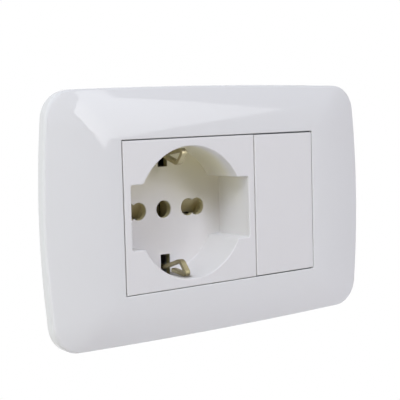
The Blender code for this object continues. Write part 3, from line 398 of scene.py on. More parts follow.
GLOSS_WHITE = MouldedPlastic("plate_gloss_white", Slot.GLOSS_WHITE, (0.778, 0.774, 0.753), 0.03,
                             flow_colour=(0.765, 0.761, 0.738), grain_per_metre=1500.0, grain_depth=0.0000010,
                             spread=0.03)
SATIN_WHITE = ModulePlastic("module_satin_white", Slot.SATIN_WHITE, (0.768, 0.755, 0.734), 0.34,
                            flow_colour=(0.757, 0.743, 0.721), grain_per_metre=2600.0, grain_depth=0.000004,
                            spread=0.08)
FRAME_GREY = MouldedPlastic("frame_grey_plastic", Slot.FRAME_GREY, (0.30, 0.31, 0.32), 0.46,
                            flow_colour=(0.26, 0.27, 0.28), grain_per_metre=1900.0, grain_depth=0.000010,
                            spread=0.12)
HOUSING_GREY = MouldedPlastic("housing_light_grey", Slot.HOUSING_GREY, (0.50, 0.50, 0.49), 0.44,
                              flow_colour=(0.46, 0.46, 0.445), grain_per_metre=1700.0, grain_depth=0.000010,
                              spread=0.12)
SHUTTER_BEIGE = MouldedPlastic("shutter_beige_plastic", Slot.SHUTTER_BEIGE, (0.70, 0.65, 0.45), 0.40,
                               flow_colour=(0.65, 0.60, 0.41), grain_per_metre=2200.0, grain_depth=0.000006,
                               spread=0.10)
BRASS = SheetMetal("dull_brass", Slot.BRASS, (0.53, 0.475, 0.31), 0.36, film_colour=(0.34, 0.30, 0.18),
                   streak=(0.12, 1.0, 1.0), streak_per_metre=3800.0, streak_depth=0.000006, low_film=0.6)
ZINC = SheetMetal("zinc_plated_steel", Slot.ZINC_STEEL, (0.62, 0.62, 0.60), 0.30,
                  film_colour=(0.50, 0.50, 0.47), streak=(1.0, 0.2, 1.0), streak_per_metre=3000.0,
                  streak_depth=0.000006)
SPRING_WIRE = SheetMetal("spring_steel_wire", Slot.SPRING_STEEL, (0.50, 0.50, 0.51), 0.26,
                         film_colour=(0.38, 0.38, 0.38), streak=(1.0, 1.0, 0.3), streak_per_metre=4200.0,
                         streak_depth=0.000004)


# Mesh work


def linked(name: str, bm: bmesh.types.BMesh) -> bpy.types.Object:
    """Puts a bmesh in the scene as an object at the origin, and frees it."""
    mesh = bpy.data.meshes.new(name)
    bm.to_mesh(mesh)
    bm.free()
    obj = bpy.data.objects.new(name, mesh)
    bpy.context.scene.collection.objects.link(obj)
    return obj


def baked(obj: bpy.types.Object) -> bpy.types.Object:
    """Turns an object's modifiers into its plain mesh, removes them, and returns the object."""
    bpy.context.view_layer.update()
    evaluated = obj.evaluated_get(bpy.context.evaluated_depsgraph_get())
    mesh = bpy.data.meshes.new_from_object(evaluated)
    obj.modifiers.clear()
    old = obj.data
    obj.data = mesh
    bpy.data.meshes.remove(old)
    return obj


def combined(target: bpy.types.Object, operation: str, *tools: bpy.types.Object) -> None:
    """Applies exact Booleans.

    Args:
        target: the object that changes.
        operation: UNION or DIFFERENCE.
        tools: the other objects, which are removed.
    """
    for tool in tools:
        modifier = target.modifiers.new("boolean", "BOOLEAN")
        modifier.operation = operation
        modifier.solver = "EXACT"
        modifier.object = tool
        baked(target)
        bpy.data.objects.remove(tool)


def block(x: float, half_x: float, front: float, back: float, bottom: float, top: float) -> bpy.types.Object:
    """Returns a box that is centred on x, between two depths and two heights."""
    bm = bmesh.new()
    bmesh.ops.create_cube(bm, size=1.0)
    bmesh.ops.scale(bm, vec=(2 * half_x, back - front, top - bottom), verts=bm.verts)
    bmesh.ops.translate(bm, vec=(x, (front + back) / 2, (bottom + top) / 2), verts=bm.verts)
    return linked("block", bm)


def rod(radius: float, x: float, z: float, front: float, back: float, segments: int = 48) -> bpy.types.Object:
    """Returns a cylinder that runs straight back from the front depth."""
    bm = bmesh.new()
    turn = Matrix.Translation((x, (front + back) / 2, z)) @ Matrix.Rotation(pi / 2, 4, "X")
    bmesh.ops.create_cone(bm, cap_ends=True, segments=segments, radius1=radius, radius2=radius,
                          depth=back - front, matrix=turn)
    return linked("rod", bm)


def lofted(bm: bmesh.types.BMesh, rings: Sequence[Sequence[Point3]]) -> list[list[bmesh.types.BMVert]]:
    """Joins matched closed rings of points with four-sided faces, and returns their vertices."""
    made = [[bm.verts.new(point) for point in ring] for ring in rings]
    for ring, after in zip(made, made[1:]):
        for index in range(len(ring)):
            nxt = (index + 1) % len(ring)
            bm.faces.new((ring[index], ring[nxt], after[nxt], after[index]))
    return made


def closed(name: str, bm: bmesh.types.BMesh) -> bpy.types.Object:
    """Turns a finished skin's faces outwards and puts it in the scene as an object."""
    bmesh.ops.recalc_face_normals(bm, faces=bm.faces)
    return linked(name, bm)


def solid(name: str, rings: Sequence[Sequence[Point3]]) -> bpy.types.Object:
    """Returns a closed solid of rings joined in order, with a face over each end."""
    bm = bmesh.new()
    made = lofted(bm, rings)
    bm.faces.new(made[0])
    bm.faces.new(reversed(made[-1]))
    return closed(name, bm)


def filled(bm: bmesh.types.BMesh, loops: Sequence[Sequence[bmesh.types.BMVert]]) -> None:
    """Fills the flat area between closed loops of vertices, the outer loop and its holes."""
    edges = []
    for loop in loops:
        for index, vert in enumerate(loop):
            after = loop[(index + 1) % len(loop)]
            edges.append(bm.edges.get((vert, after)) or bm.edges.new((vert, after)))
    bmesh.ops.triangle_fill(bm, use_beauty=True, use_dissolve=False, edges=edges)


def at_depth(outline: Sequence[Point2], depth: float, x: float = 0.0) -> list[Point3]:
    """Returns an outline's points at one depth, moved along X."""
    return [(px + x, depth, pz) for px, pz in outline]


def arc(centre: Point2, radius: float, start: float, end: float, steps: int) -> list[Point2]:
    """Returns points on an arc, both ends included."""
    return [(centre[0] + radius * cos(start + (end - start) * step / steps),
             centre[1] + radius * sin(start + (end - start) * step / steps)) for step in range(steps + 1)]


def edge_rings(outline: Callable[[float], list[Point2]], radius: float, depth: float, steps: int, x: float,
               leaving: bool = False) -> list[list[Point3]]:
    """Returns the rings of a quarter round between a side and a flat face.

    Args:
        outline: gives the loop, moved in or out by a distance.
        radius: the round's radius, or less than 0 where the side rises from the face.
        depth: the depth of the flat face.
        steps: the steps of the round.
        x: the X of the loop's middle.
        leaving: whether the rings run from the face to the side.

    Returns:
        The rings.
    """
    rings = []
    for step in range(steps + 1):
        angle = pi / 2 * step / steps
        aside, down = 1 - cos(angle), 1 - sin(angle)
        if leaving:
            aside, down = down, aside
        rings.append(at_depth(outline(radius * aside), depth + radius * down, x))
    return rings


def rectangle_quarter(half_x: float, half_z: float, radius: float, side_steps: int, corner_steps: int,
                      top_steps: int) -> list[Point2]:
    """Returns a quarter of a rectangle with rounded corners, from the +X axis round to the +Z axis.

    Args:
        half_x: half the width.
        half_z: half the height.
        radius: the radius of the corners.
        side_steps: points on the side.
        corner_steps: steps of the corner.
        top_steps: points on the top.

    Returns:
        The points.
    """
    side = [(half_x, (half_z - radius) * step / side_steps) for step in range(side_steps)]
    corner = arc((half_x - radius, half_z - radius), radius, 0.0, pi / 2, corner_steps)
    top = [((half_x - radius) * (1 - step / top_steps), half_z) for step in range(1, top_steps + 1)]
    return side + corner + top


def four_quarters(quarter: Sequence[Point2]) -> list[Point2]:
    """Returns a closed loop from one quarter, which runs from the +X axis round to the +Z axis."""
    upper = list(quarter) + [(-x, z) for x, z in reversed(quarter[:-1])]
    return upper + [(x, -z) for x, z in reversed(upper[1:-1])]


def towards(azimuth: float, elevation: float) -> Vector:
    """Returns the direction from the fitting to an azimuth and elevation: azimuth 0 is straight in front."""
    turn, rise = radians(azimuth), radians(elevation)
    return Vector((sin(turn) * cos(rise), -cos(turn) * cos(rise), sin(rise)))


def shaded(obj: bpy.types.Object, limit: float = 32.0, flat_weight: int = 60) -> bpy.types.Object:
    """Shades an object smooth, with edges over the limit sharp and flat faces kept flat."""
    obj.data.shade_smooth()
    obj.data.set_sharp_from_angle(angle=radians(limit))
    weigh = obj.modifiers.new("weighted normals", "WEIGHTED_NORMAL")
    weigh.keep_sharp = True
    weigh.weight = flat_weight
    return baked(obj)


def bevelled(obj: bpy.types.Object, width: float, segments: int = 2, limit: float = 35.0) -> bpy.types.Object:
    """Rounds every edge over the limit by the width, and shades the result."""
    bevel = obj.modifiers.new("edge round", "BEVEL")
    bevel.width = width
    bevel.segments = segments
    bevel.limit_method = "ANGLE"
    bevel.angle_limit = radians(limit)
    return shaded(baked(obj))


def placed(obj: bpy.types.Object, name: str, finish: Finish, node: str, body: Body = Body.FITTING) -> None:
    """Names a finished piece, dresses it, and puts it on its body.

    Args:
        obj: the piece, with its place in its mesh.
        name: the piece's name.
        finish: its finish.
        node: the CAD node that it stands for.
        body: the body that it rides on.
    """
    obj.name = name
    obj.data.name = name
    obj.data.materials.clear()
    obj.data.materials.append(finish.material())
    for polygon in obj.data.polygons:
        polygon.material_index = 0
    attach(obj, body.value)
    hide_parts(node)
    log.info("%s: %d faces on %s", name, len(obj.data.polygons), body.value)


@dataclass(frozen=True)
class ModuleSizes:
    """Sizes that the modules, the frame and the cover plate share."""

    clearance: float = 0.0003
    bite: float = 0.0004
    pitch: float = 0.02484
    count: int = 3
    face_front: float = -0.0065
    face_thickness: float = 0.0018
    face_height: float = 0.04513
    body_height: float = 0.0440
    body_side_step: float = 0.00075
    housing_screw: Point2 = (0.01984, 0.0179)
    spring_side: float = 0.0060

    @property
    def face_back(self) -> float:
        """Returns the depth of the faces' backs."""
        return self.face_front + self.face_thickness

    @property
    def socket_x(self) -> float:
        """Returns the X of the socket's middle."""
        return -self.pitch / 2

    @property
    def blank_x(self) -> float:
        """Returns the X of the blank cover's middle."""
        return self.pitch

    @property
    def socket_half_x(self) -> float:
        """Returns half the width of the socket's face."""
        return self.pitch - self.clearance / 2

    @property
    def blank_half_x(self) -> float:
        """Returns half the width of the blank cover's face."""
        return (self.pitch - self.clearance) / 2

    def snap_wedges(self, x: float) -> list[bpy.types.Object]:
        """Returns the two wedges that hold a module in the frame's windows."""
        front, length, crest, half = 0.0020, 0.0030, 0.0009, 0.0040
        wedges = []
        for side in (-1, 1):
            root = side * (self.body_height / 2 - self.bite)
            top = side * (self.body_height / 2 + crest)
            profile = ((front, root), (front, top), (front + length, root))
            wedges.append(solid("wedge", [[(x + end * half, y, z) for y, z in profile] for end in (-1, 1)]))
        return wedges


MODULE = ModuleSizes()


@dataclass
class CoverPlate:
    """The domed cover plate, with bowed sides, a rounded rim and four pegs behind."""

    width: float = 0.1230
    height: float = 0.0764
    side_bow: float = 0.0026
    top_bow: float = 0.0006
    corner: float = 0.0088
    edge_wall: float = 0.0023
    edge_round: float = 0.0011
    edge_turn: float = 70.0
    skin: float = 0.0018
    lip_front: float = -0.0066
    lip_round: float = 0.0003
    opening_corner: float = 0.0005
    right_tight: float = 0.00016
    bottom_tight: float = 0.00016
    peg_middle: Point2 = (0.0500, 0.0120)
    peg_half: Point2 = (0.0008, 0.0030)
    sharp_over: float = 40.0
    dome_rings: int = 18
    round_steps: int = 10
    side_points: int = 22
    corner_points: int = 18
    top_points: int = 30
    lip_steps: int = 4

    def outer_quarter(self, shrink: float) -> list[Point2]:
        """Returns a quarter of the bowed outline, drawn in by shrink on each side."""
        half_x = self.width / 2 - shrink
        half_z = self.height / 2 - shrink
        centre_z = half_z - self.top_bow - self.corner
        centre_x = half_x - self.side_bow * (centre_z / half_z) ** 2 - self.corner
        start = atan2(2 * self.side_bow * centre_z, half_z ** 2)
        end = pi / 2 - atan2(2 * self.top_bow * centre_x, half_x ** 2)
        corner = arc((centre_x, centre_z), self.corner, start, end, self.corner_points)
        side_top, top_side = corner[0], corner[-1]
        side = []
        for step in range(self.side_points):
            share = step / self.side_points
            side.append((half_x - (half_x - side_top[0]) * share ** 2, side_top[1] * share))
        top = []
        for step in range(1, self.top_points + 1):
            share = 1 - step / self.top_points
            top.append((top_side[0] * share, half_z - (half_z - top_side[1]) * share ** 2))
        return side + corner + top

    def opening_quarter(self, grow: float) -> list[Point2]:
        """Returns a quarter of the opening, matched point for point to the outer quarter."""
        half_x = MODULE.count * MODULE.pitch / 2 + MODULE.clearance / 2 + grow
        half_z = MODULE.face_height / 2 + MODULE.clearance + grow
        return rectangle_quarter(half_x, half_z, self.opening_corner, self.side_points, self.corner_points,
                                 self.top_points)

    def rings(self) -> list[list[Point3]]:
        """Returns the outer surface as rings, from the rim on the wall to the opening's lip."""
        quarters = [(self.outer_quarter(0.0), 0.0, 0.0)]
        for step in range(self.round_steps + 1):
            angle = radians(self.edge_turn) * step / self.round_steps
            quarters.append((self.outer_quarter(self.edge_round * (1 - cos(angle))),
                             -self.edge_wall - self.edge_round * sin(angle), 0.0))
        edge, edge_depth, _ = quarters[-1]
        lip = self.opening_quarter(self.lip_round)
        rise = self.lip_front - edge_depth
        for step in range(1, self.dome_rings + 1):
            share = step / self.dome_rings
            blend = [(a[0] + (b[0] - a[0]) * share, a[1] + (b[1] - a[1]) * share) for a, b in zip(edge, lip)]
            quarters.append((blend, edge_depth + rise * (1 - (1 - share) ** 2), share))
        for step in range(1, self.lip_steps + 1):
            angle = pi / 2 * step / self.lip_steps
            quarters.append((self.opening_quarter(self.lip_round * (1 - sin(angle))),
                             self.lip_front + self.lip_round * (1 - cos(angle)), 1.0))
        return [at_depth(self.tightened(four_quarters(quarter), share), depth)
                for quarter, depth, share in quarters]

    def tightened(self, loop: Sequence[Point2], share: float) -> list[Point2]:
        """Returns a loop with its right and lower sides drawn in by a share of their closer gaps."""
        right = max(x for x, _ in loop)
        top = max(z for _, z in loop)
        return [(x - share * self.right_tight * max(x / right, 0.0),
                 z + share * self.bottom_tight * max(-z / top, 0.0)) for x, z in loop]

    def build(self) -> None:
        """Builds the plate's shell and its pegs, and puts it in the node's place."""
        bm = bmesh.new()
        lofted(bm, self.rings())
        shell = closed("plate", bm)
        thicken = shell.modifiers.new("skin", "SOLIDIFY")
        thicken.thickness = self.skin
        thicken.offset = -1.0
        baked(shell)
        peg_back = self.lip_front + self.skin - MODULE.bite
        (peg_x, peg_z), (half_x, half_z) = self.peg_middle, self.peg_half
        pegs = [block(x, half_x, peg_back, -MODULE.clearance, z - half_z, z + half_z)
                for x in (-peg_x, peg_x) for z in (-peg_z, peg_z)]
        combined(shell, "UNION", *pegs)
        placed(shaded(shell, self.sharp_over), "cover_plate_shell", GLOSS_WHITE, "cover_plate")


@dataclass
class SocketFront:
    """The two-module socket front: face, well with side notches, floor with pin holes, clip slots."""

    well_radius: float = 0.02014
    notch_half_x: float = 0.0222
    notch_half_z: float = 0.00965
    notch_fillet: float = 0.0007
    notch_lead: float = 0.0005
    least_lead: float = 0.00005
    wall: float = 0.0016
    floor_front: float = 0.0087
    floor_back: float = 0.0107
    face_round: float = 0.00038
    rim_round: float = 0.00035
    floor_fillet: float = 0.0003
    hole_radius: float = 0.00272
    hole_round: float = 0.00028
    near_pin: float = 0.0095
    far_pin: float = 0.0130
    slot_half: float = 0.0018
    slot_inner: float = 0.0138
    slot_drop: float = 0.0004
    groove_depth: float = 0.0009
    groove_front: float = 0.0028
    skirt_wall: float = 0.0015
    boss_radius: float = 0.0027
    boss_front: float = 0.0020
    drill_radius: float = 0.0015
    drill_front: float = 0.0032
    form_back: float = 0.0155
    rail_side: float = 0.01802
    rail_half: Point2 = (0.0004, 0.00952)
    case_side: float = 0.0226
    case_half: Point2 = (0.0005, 0.0112)
    stop_half_x: float = 0.01682
    stop_span: Point2 = (-0.01082, -0.00982)
    seat_half_x: float = 0.0025
    seat_span: Point2 = (0.01552, 0.01702)
    side_steps: int = 3
    fillet_steps: int = 6
    lead_steps: int = 4
    arc_steps: int = 40
    hole_steps: int = 48
    lobe_steps: int = 34
    round_steps: int = 5
    floor_steps: int = 2
    hole_round_steps: int = 4

    def well_outline(self, grow: float) -> list[Point2]:
        """Returns the outline of the well and its notches, grown by a distance."""
        radius = self.well_radius + grow
        half_x = self.notch_half_x + grow
        half_z = self.notch_half_z + grow
        fillet = self.notch_fillet + grow
        meet = asin(half_z / radius)
        lead = max(self.notch_lead - grow, self.least_lead)
        after = meet + lead / radius
        points = [(half_x, (half_z - fillet) * step / self.side_steps) for step in range(self.side_steps)]
        points += arc((half_x - fillet, half_z - fillet), fillet, 0.0, pi / 2, self.fillet_steps)
        start = (radius * cos(meet) + lead, half_z)
        corner = (radius * cos(meet), half_z)
        end = (radius * cos(after), radius * sin(after))
        for step in range(self.lead_steps + 1):
            t = step / self.lead_steps
            points.append(tuple((1 - t) ** 2 * a + 2 * t * (1 - t) * b + t ** 2 * c
                                for a, b, c in zip(start, corner, end)))
        points += arc((0.0, 0.0), radius, after, pi / 2, self.arc_steps)[1:]
        return four_quarters(points)

    def face_outline(self, shrink: float) -> list[Point2]:
        """Returns the face's rectangle, matched point for point to the well's outline."""
        half_x = MODULE.socket_half_x - shrink
        half_z = MODULE.face_height / 2 - shrink
        corner = atan2(MODULE.face_height / 2, MODULE.socket_half_x)
        well = self.well_outline(0.0)
        quarter = well[: len(well) // 4 + 1]
        angles = [atan2(z, x) for x, z in quarter]
        nearest = min(range(len(angles)), key=lambda index: abs(angles[index] - corner))
        points = []
        for index, angle in enumerate(angles):
            if index == nearest:
                points.append((half_x, half_z))
            elif index < nearest:
                points.append((half_x, half_x * tan(angle) if angle < corner else half_z))
            else:
                points.append((half_z / tan(angle) if angle < pi / 2 - 1e-6 else 0.0, half_z))
        return four_quarters(points)

    def hole_outline(self, grow: float, offset: float) -> list[Point2]:
        """Returns a pin hole's outline.

        Args:
            grow: how far the outline is grown.
            offset: the double hole's middle, or 0 for the single hole in the middle.

        Returns:
            The points, anticlockwise.
        """
        radius = self.hole_radius + grow
        if offset == 0.0:
            last = self.hole_steps - 1
            return arc((0.0, 0.0), radius, 0.0, 2 * pi * last / self.hole_steps, last)
        half_pitch = (self.far_pin - self.near_pin) / 2
        cusp = acos(half_pitch / radius)
        right = arc((offset + half_pitch, 0.0), radius, -pi + cusp, pi - cusp, self.lobe_steps)
        left = arc((offset - half_pitch, 0.0), radius, cusp, 2 * pi - cusp, self.lobe_steps)
        return right[:-1] + left[:-1]

    def skin(self) -> bpy.types.Object:
        """Returns the closed skin of the face, the well's wall, the floor and its holes."""
        x = MODULE.socket_x
        front, back = MODULE.face_front, MODULE.face_back
        rings = [at_depth(self.well_outline(self.wall), back, x), at_depth(self.face_outline(0.0), back, x)]
        rings += edge_rings(self.face_outline, self.face_round, front, self.round_steps, x)
        rings += edge_rings(self.well_outline, self.rim_round, front, self.round_steps, x, leaving=True)
        rings += edge_rings(self.well_outline, -self.floor_fillet, self.floor_front, self.floor_steps, x)
        bm = bmesh.new()
        made = lofted(bm, rings)
        outer_back = [bm.verts.new(point) for point in
                      at_depth(self.well_outline(self.wall), self.floor_back, x)]
        first = made[0]
        for index in range(len(first)):
            after = (index + 1) % len(first)
            bm.faces.new((first[index], first[after], outer_back[after], outer_back[index]))
        fronts, backs = [made[-1]], [outer_back]
        middle = (self.near_pin + self.far_pin) / 2
        for offset in (-middle, 0.0, middle):
            hole = edge_rings(lambda grow: self.hole_outline(grow, offset), self.hole_round,
                              self.floor_front, self.hole_round_steps, x, leaving=True)
            loops = lofted(bm, [*hole, at_depth(self.hole_outline(0.0, offset), self.floor_back, x)])
            fronts.append(loops[0])
            backs.append(loops[-1])
        filled(bm, fronts)
        filled(bm, backs)
        return closed("socket_skin", bm)

    def hidden_forms(self) -> list[bpy.types.Object]:
        """Returns the forms behind the face: skirt, notch case, bosses, shutter rails, stop and seat."""
        x = MODULE.socket_x
        half_x = MODULE.socket_half_x - MODULE.body_side_step
        half_z = MODULE.body_height / 2
        wall, bite = self.skirt_wall, MODULE.bite
        face_back, root, back = MODULE.face_back - bite, self.floor_back - bite, self.form_back
        skirt = block(x, half_x, face_back, self.floor_back, -half_z, half_z)
        pocket = block(x, half_x - wall, face_back - bite, self.floor_back + bite,
                       -half_z + wall, half_z - wall)
        combined(skirt, "DIFFERENCE", pocket)
        forms = [skirt, *MODULE.snap_wedges(x)]
        screw_x, screw_z = MODULE.housing_screw
        for side in (1, -1):
            forms.append(rod(self.boss_radius, x + side * screw_x, side * screw_z,
                             self.boss_front, self.floor_back))
            half, reach = self.rail_half
            forms.append(block(x + side * self.rail_side, half, root, back, -reach, reach))
            half, reach = self.case_half
            forms.append(block(x + side * self.case_side, half, face_back, self.floor_back, -reach, reach))
        forms.append(block(x, self.stop_half_x, root, back, *self.stop_span))
        forms.append(block(x + MODULE.spring_side, self.seat_half_x, root, back, *self.seat_span))
        return forms

    def build(self) -> None:
        """Builds the socket front and puts it in the node's place."""
        x, back = MODULE.socket_x, self.floor_back + MODULE.bite
        screw_x, screw_z = MODULE.housing_screw
        front = self.skin()
        combined(front, "UNION", *self.hidden_forms())
        for side in (-1, 1):
            low, high = sorted((side * self.slot_inner - self.slot_drop,
                                side * (self.well_radius + self.groove_depth)))
            slot = block(x, self.slot_half, MODULE.face_front + self.groove_front, back, low, high)
            drill = rod(self.drill_radius, x + side * screw_x, side * screw_z, self.drill_front, back)
            combined(front, "DIFFERENCE", slot, drill)
        placed(shaded(front), "socket_front_moulding", SATIN_WHITE, "socket_front")


@dataclass
class BlankCover:
    """The one-module blank cover: a plain face on a hollow, ribbed skirt."""

    height: float = 0.0449
    edge_round: float = 0.00035
    corner: float = 0.0003
    back: float = 0.0060
    wall: float = 0.0014
    rib: float = 0.0012
    rib_back: float = 0.0
    side_steps: int = 12
    corner_steps: int = 4
    top_steps: int = 8
    round_steps: int = 5

    def outline(self, shrink: float) -> list[Point2]:
        """Returns the face's outline, drawn in by shrink."""
        half_x = MODULE.blank_half_x - shrink
        half_z = self.height / 2 - shrink
        return four_quarters(rectangle_quarter(half_x, half_z, self.corner, self.side_steps,
                                               self.corner_steps, self.top_steps))

    def build(self) -> None:
        """Builds the blank cover and puts it in the node's place."""
        x, face_back, bite, wall = MODULE.blank_x, MODULE.face_back, MODULE.bite, self.wall
        bm = bmesh.new()
        rings = [at_depth(self.outline(0.0), face_back, x)]
        made = lofted(bm, rings + edge_rings(self.outline, self.edge_round, MODULE.face_front,
                                             self.round_steps, x))
        filled(bm, [made[0]])
        filled(bm, [made[-1]])
        face = closed("blank_face", bm)
        half_x = MODULE.blank_half_x - MODULE.body_side_step
        half_z = MODULE.body_height / 2
        skirt = block(x, half_x, face_back - bite, self.back, -half_z, half_z)
        hollow = block(x, half_x - wall, face_back, self.back + bite, -half_z + wall, half_z - wall)
        combined(face, "UNION", skirt)
        combined(face, "DIFFERENCE", hollow)
        rib_z = MODULE.body_height / 6
        ribs = [block(x, half_x - wall + bite, face_back - bite, self.rib_back,
                      z - self.rib / 2, z + self.rib / 2) for z in (-rib_z, rib_z)]
        combined(face, "UNION", *ribs, *MODULE.snap_wedges(x))
        placed(shaded(face), "blank_cover_moulding", SATIN_WHITE, "blank_module")


@dataclass
class EarthStrip:
    """The one-piece earth strip: a plate behind the shutter and two spring clips in the well."""

    width: float = 0.0019
    thickness: float = 0.0012
    edge: float = 0.0002
    middle_depth: float = 0.0167
    floor_front: float = 0.0087
    arm_z: float = 0.0178
    apex: Point2 = (0.0002, 0.01495)
    end: Point2 = (-0.0034, 0.0193)
    tuck: Point2 = (0.0043, 0.0183)
    drop: float = 0.0004
    bends: tuple[float, ...] = (0.0011, 0.0011, 0.0016, 0.00066)
    plate_half_x: float = 0.0045
    plate_span: Point2 = (-0.0090, 0.0060)
    plate_holes: tuple[Point2, ...] = ((0.0032, 0.0), (0.0014, -0.0060))
    longest_bend: float = 0.45
    bend_steps: int = 10
    edge_steps: int = 3

    def path(self) -> list[Point2]:
        """Returns the whole strip as (depth, height) points, from the lower tuck to the upper one."""
        corners = [(self.middle_depth, 0.0), (self.middle_depth, self.arm_z), (self.floor_front, self.arm_z),
                   self.apex, self.end, self.tuck]
        upper = [corners[0]]
        for before, corner, after, bend in zip(corners, corners[1:], corners[2:], self.bends):
            inward = Vector(before) - Vector(corner)
            outward = Vector(after) - Vector(corner)
            half = inward.angle(outward) / 2
            reach = min(bend / tan(half), self.longest_bend * min(inward.length, outward.length))
            radius = reach * tan(half)
            middle = (inward.normalized() + outward.normalized()).normalized()
            centre = Vector(corner) + middle * (radius / sin(half))
            first = Vector(corner) + inward.normalized() * reach - centre
            last = Vector(corner) + outward.normalized() * reach - centre
            sweep = atan2(first.x * last.y - first.y * last.x, first.dot(last))
            for step in range(self.bend_steps + 1):
                turned = Matrix.Rotation(sweep * step / self.bend_steps, 2) @ first
                upper.append(tuple(centre + turned))
        upper.append(corners[-1])
        lower = [(y, -z - self.drop) for y, z in reversed(upper)]
        return lower + [(y, z - self.drop) for y, z in upper[1:]]

    def section(self) -> list[Point2]:
        """Returns the strip's cross-section as (across, through) points."""
        half_w, half_t, edge = self.width / 2 - self.edge, self.thickness / 2 - self.edge, self.edge
        points = []
        for quarter, (side_w, side_t) in enumerate(((1, 1), (-1, 1), (-1, -1), (1, -1))):
            centre = (side_w * half_w, side_t * half_t)
            points += arc(centre, edge, quarter * pi / 2, (quarter + 1) * pi / 2, self.edge_steps)
        return points

    def build(self) -> None:
        """Sweeps the section along the path, adds the plate, and puts it in the node's place."""
        x = MODULE.socket_x
        path = self.path()
        rings = []
        for index, (y, z) in enumerate(path):
            before = Vector(path[max(index - 1, 0)])
            after = Vector(path[min(index + 1, len(path) - 1)])
            ahead = (after - before).normalized()
            out = Vector((-ahead.y, ahead.x))
            rings.append([(x + across, y + out.x * through, z + out.y * through)
                          for across, through in self.section()])
        strip = solid("strip", rings)
        front = self.middle_depth - self.thickness / 2
        back = self.middle_depth + self.thickness / 2
        plate = block(x, self.plate_half_x, front, back, *self.plate_span)
        for radius, z in self.plate_holes:
            for pierced in (plate, strip):
                combined(pierced, "DIFFERENCE", rod(radius, x, z, front - MODULE.bite, back + MODULE.bite))
        combined(strip, "UNION", plate)
        placed(shaded(strip), "earth_strip", BRASS, "earth_bracket")


@dataclass(frozen=True)
class RoundedCopy:
    """A finer copy of a CAD node, with its edges rounded."""

    node: str
    name: str
    finish: Finish
    width: float
    body: Body = Body.FITTING
    same_point: float = 0.000004
    same_plane: float = 0.6

    def build(self) -> None:
        """Copies the node's mesh, joins its flat faces, rounds its edges and takes its place."""
        source = frame["nodes"][self.node].data
        bm = bmesh.new()
        bm.from_mesh(source)
        bmesh.ops.remove_doubles(bm, verts=bm.verts, dist=self.same_point)
        bmesh.ops.dissolve_limit(bm, angle_limit=radians(self.same_plane), verts=bm.verts, edges=bm.edges)
        placed(bevelled(linked(self.name, bm), self.width), self.name, self.finish, self.node, self.body)


# Geometry Nodes


class NodeTree(Bench):
    """Builds one Geometry Nodes tree with named inputs, and makes plain meshes with it."""

    def __init__(self, name: str, **defaults: object) -> None:
        """Starts a tree with a geometry output, and an input for each number, point or material given."""
        super().__init__(bpy.data.node_groups.new(name, "GeometryNodeTree"))
        self.tree.interface.new_socket("Geometry", in_out="OUTPUT", socket_type="NodeSocketGeometry")
        self.keys: dict[str, str] = {}
        kinds = {float: "NodeSocketFloat", tuple: "NodeSocketVector",
                 bpy.types.Material: "NodeSocketMaterial"}
        for key, value in defaults.items():
            socket = self.tree.interface.new_socket(key, in_out="INPUT", socket_type=kinds[type(value)])
            socket.default_value = value
            self.keys[key] = socket.identifier
        self.inlet = self.tree.nodes.new("NodeGroupInput")

    def given(self, *names: str) -> list[Wire]:
        """Returns some of the tree's inputs."""
        return [self.wire(self.inlet, name) for name in names]

    def raised(self, node: bpy.types.Node, z: Wire, turn: Point3 = (0.0, 0.0, 0.0)) -> Wire:
        """Returns a node's geometry, turned about the origin and raised along Z."""
        place = self.wire(self.add("ShaderNodeCombineXYZ", inputs={"Z": z}))
        return self.wire(self.add("GeometryNodeTransform", inputs={
            "Geometry": self.wire(node), "Translation": place, "Rotation": turn}))

    def coil(self, radius: Wire, height: Wire, turns: Wire, steps: int, wire_radius: Wire,
             sides: int) -> bpy.types.Node:
        """Adds a coil of wire along +Z from the origin, with closed ends.

        Args:
            radius: the radius of the coil's middle line.
            height: its height.
            turns: how many turns it has.
            steps: points in a turn.
            wire_radius: the wire's own radius.
            sides: points round the wire.

        Returns:
            The node that makes it.
        """
        line = self.add("GeometryNodeCurveSpiral", inputs={
            "Resolution": steps, "Rotations": turns, "Start Radius": radius, "End Radius": radius,
            "Height": height})
        profile = self.add("GeometryNodeCurvePrimitiveCircle", inputs={
            "Resolution": sides, "Radius": wire_radius})
        return self.add("GeometryNodeCurveToMesh", inputs={
            "Curve": self.wire(line), "Profile Curve": self.wire(profile), "Fill Caps": True})

    def finish(self, geometry: Wire, **stand: Wire) -> None:
        """Ends the tree: puts the geometry in its place, makes it real, and dresses it."""
        whole = self.add("GeometryNodeTransform", inputs={"Geometry": geometry, **stand})
        real = self.add("GeometryNodeRealizeInstances", inputs={"Geometry": self.wire(whole)})
        dressed = self.add("GeometryNodeSetMaterial", inputs={
            "Geometry": self.wire(real), "Material": self.given("material")[0]})
        self.add("NodeGroupOutput", inputs={"Geometry": self.wire(dressed)})

    def mesh(self, name: str, **values: object) -> bpy.types.Object:
        """Runs the tree on an empty mesh.

        Args:
            name: the new object's name.
            values: the tree's inputs by name.

        Returns:
            A plain mesh object with no modifier left.
        """
        obj = bpy.data.objects.new(name, bpy.data.meshes.new(name))
        modifier = obj.modifiers.new("nodes", "NODES")
        modifier.node_group = self.tree
        for key, value in values.items():
            modifier[self.keys[key]] = value
        bpy.context.scene.collection.objects.link(obj)
        return baked(obj)


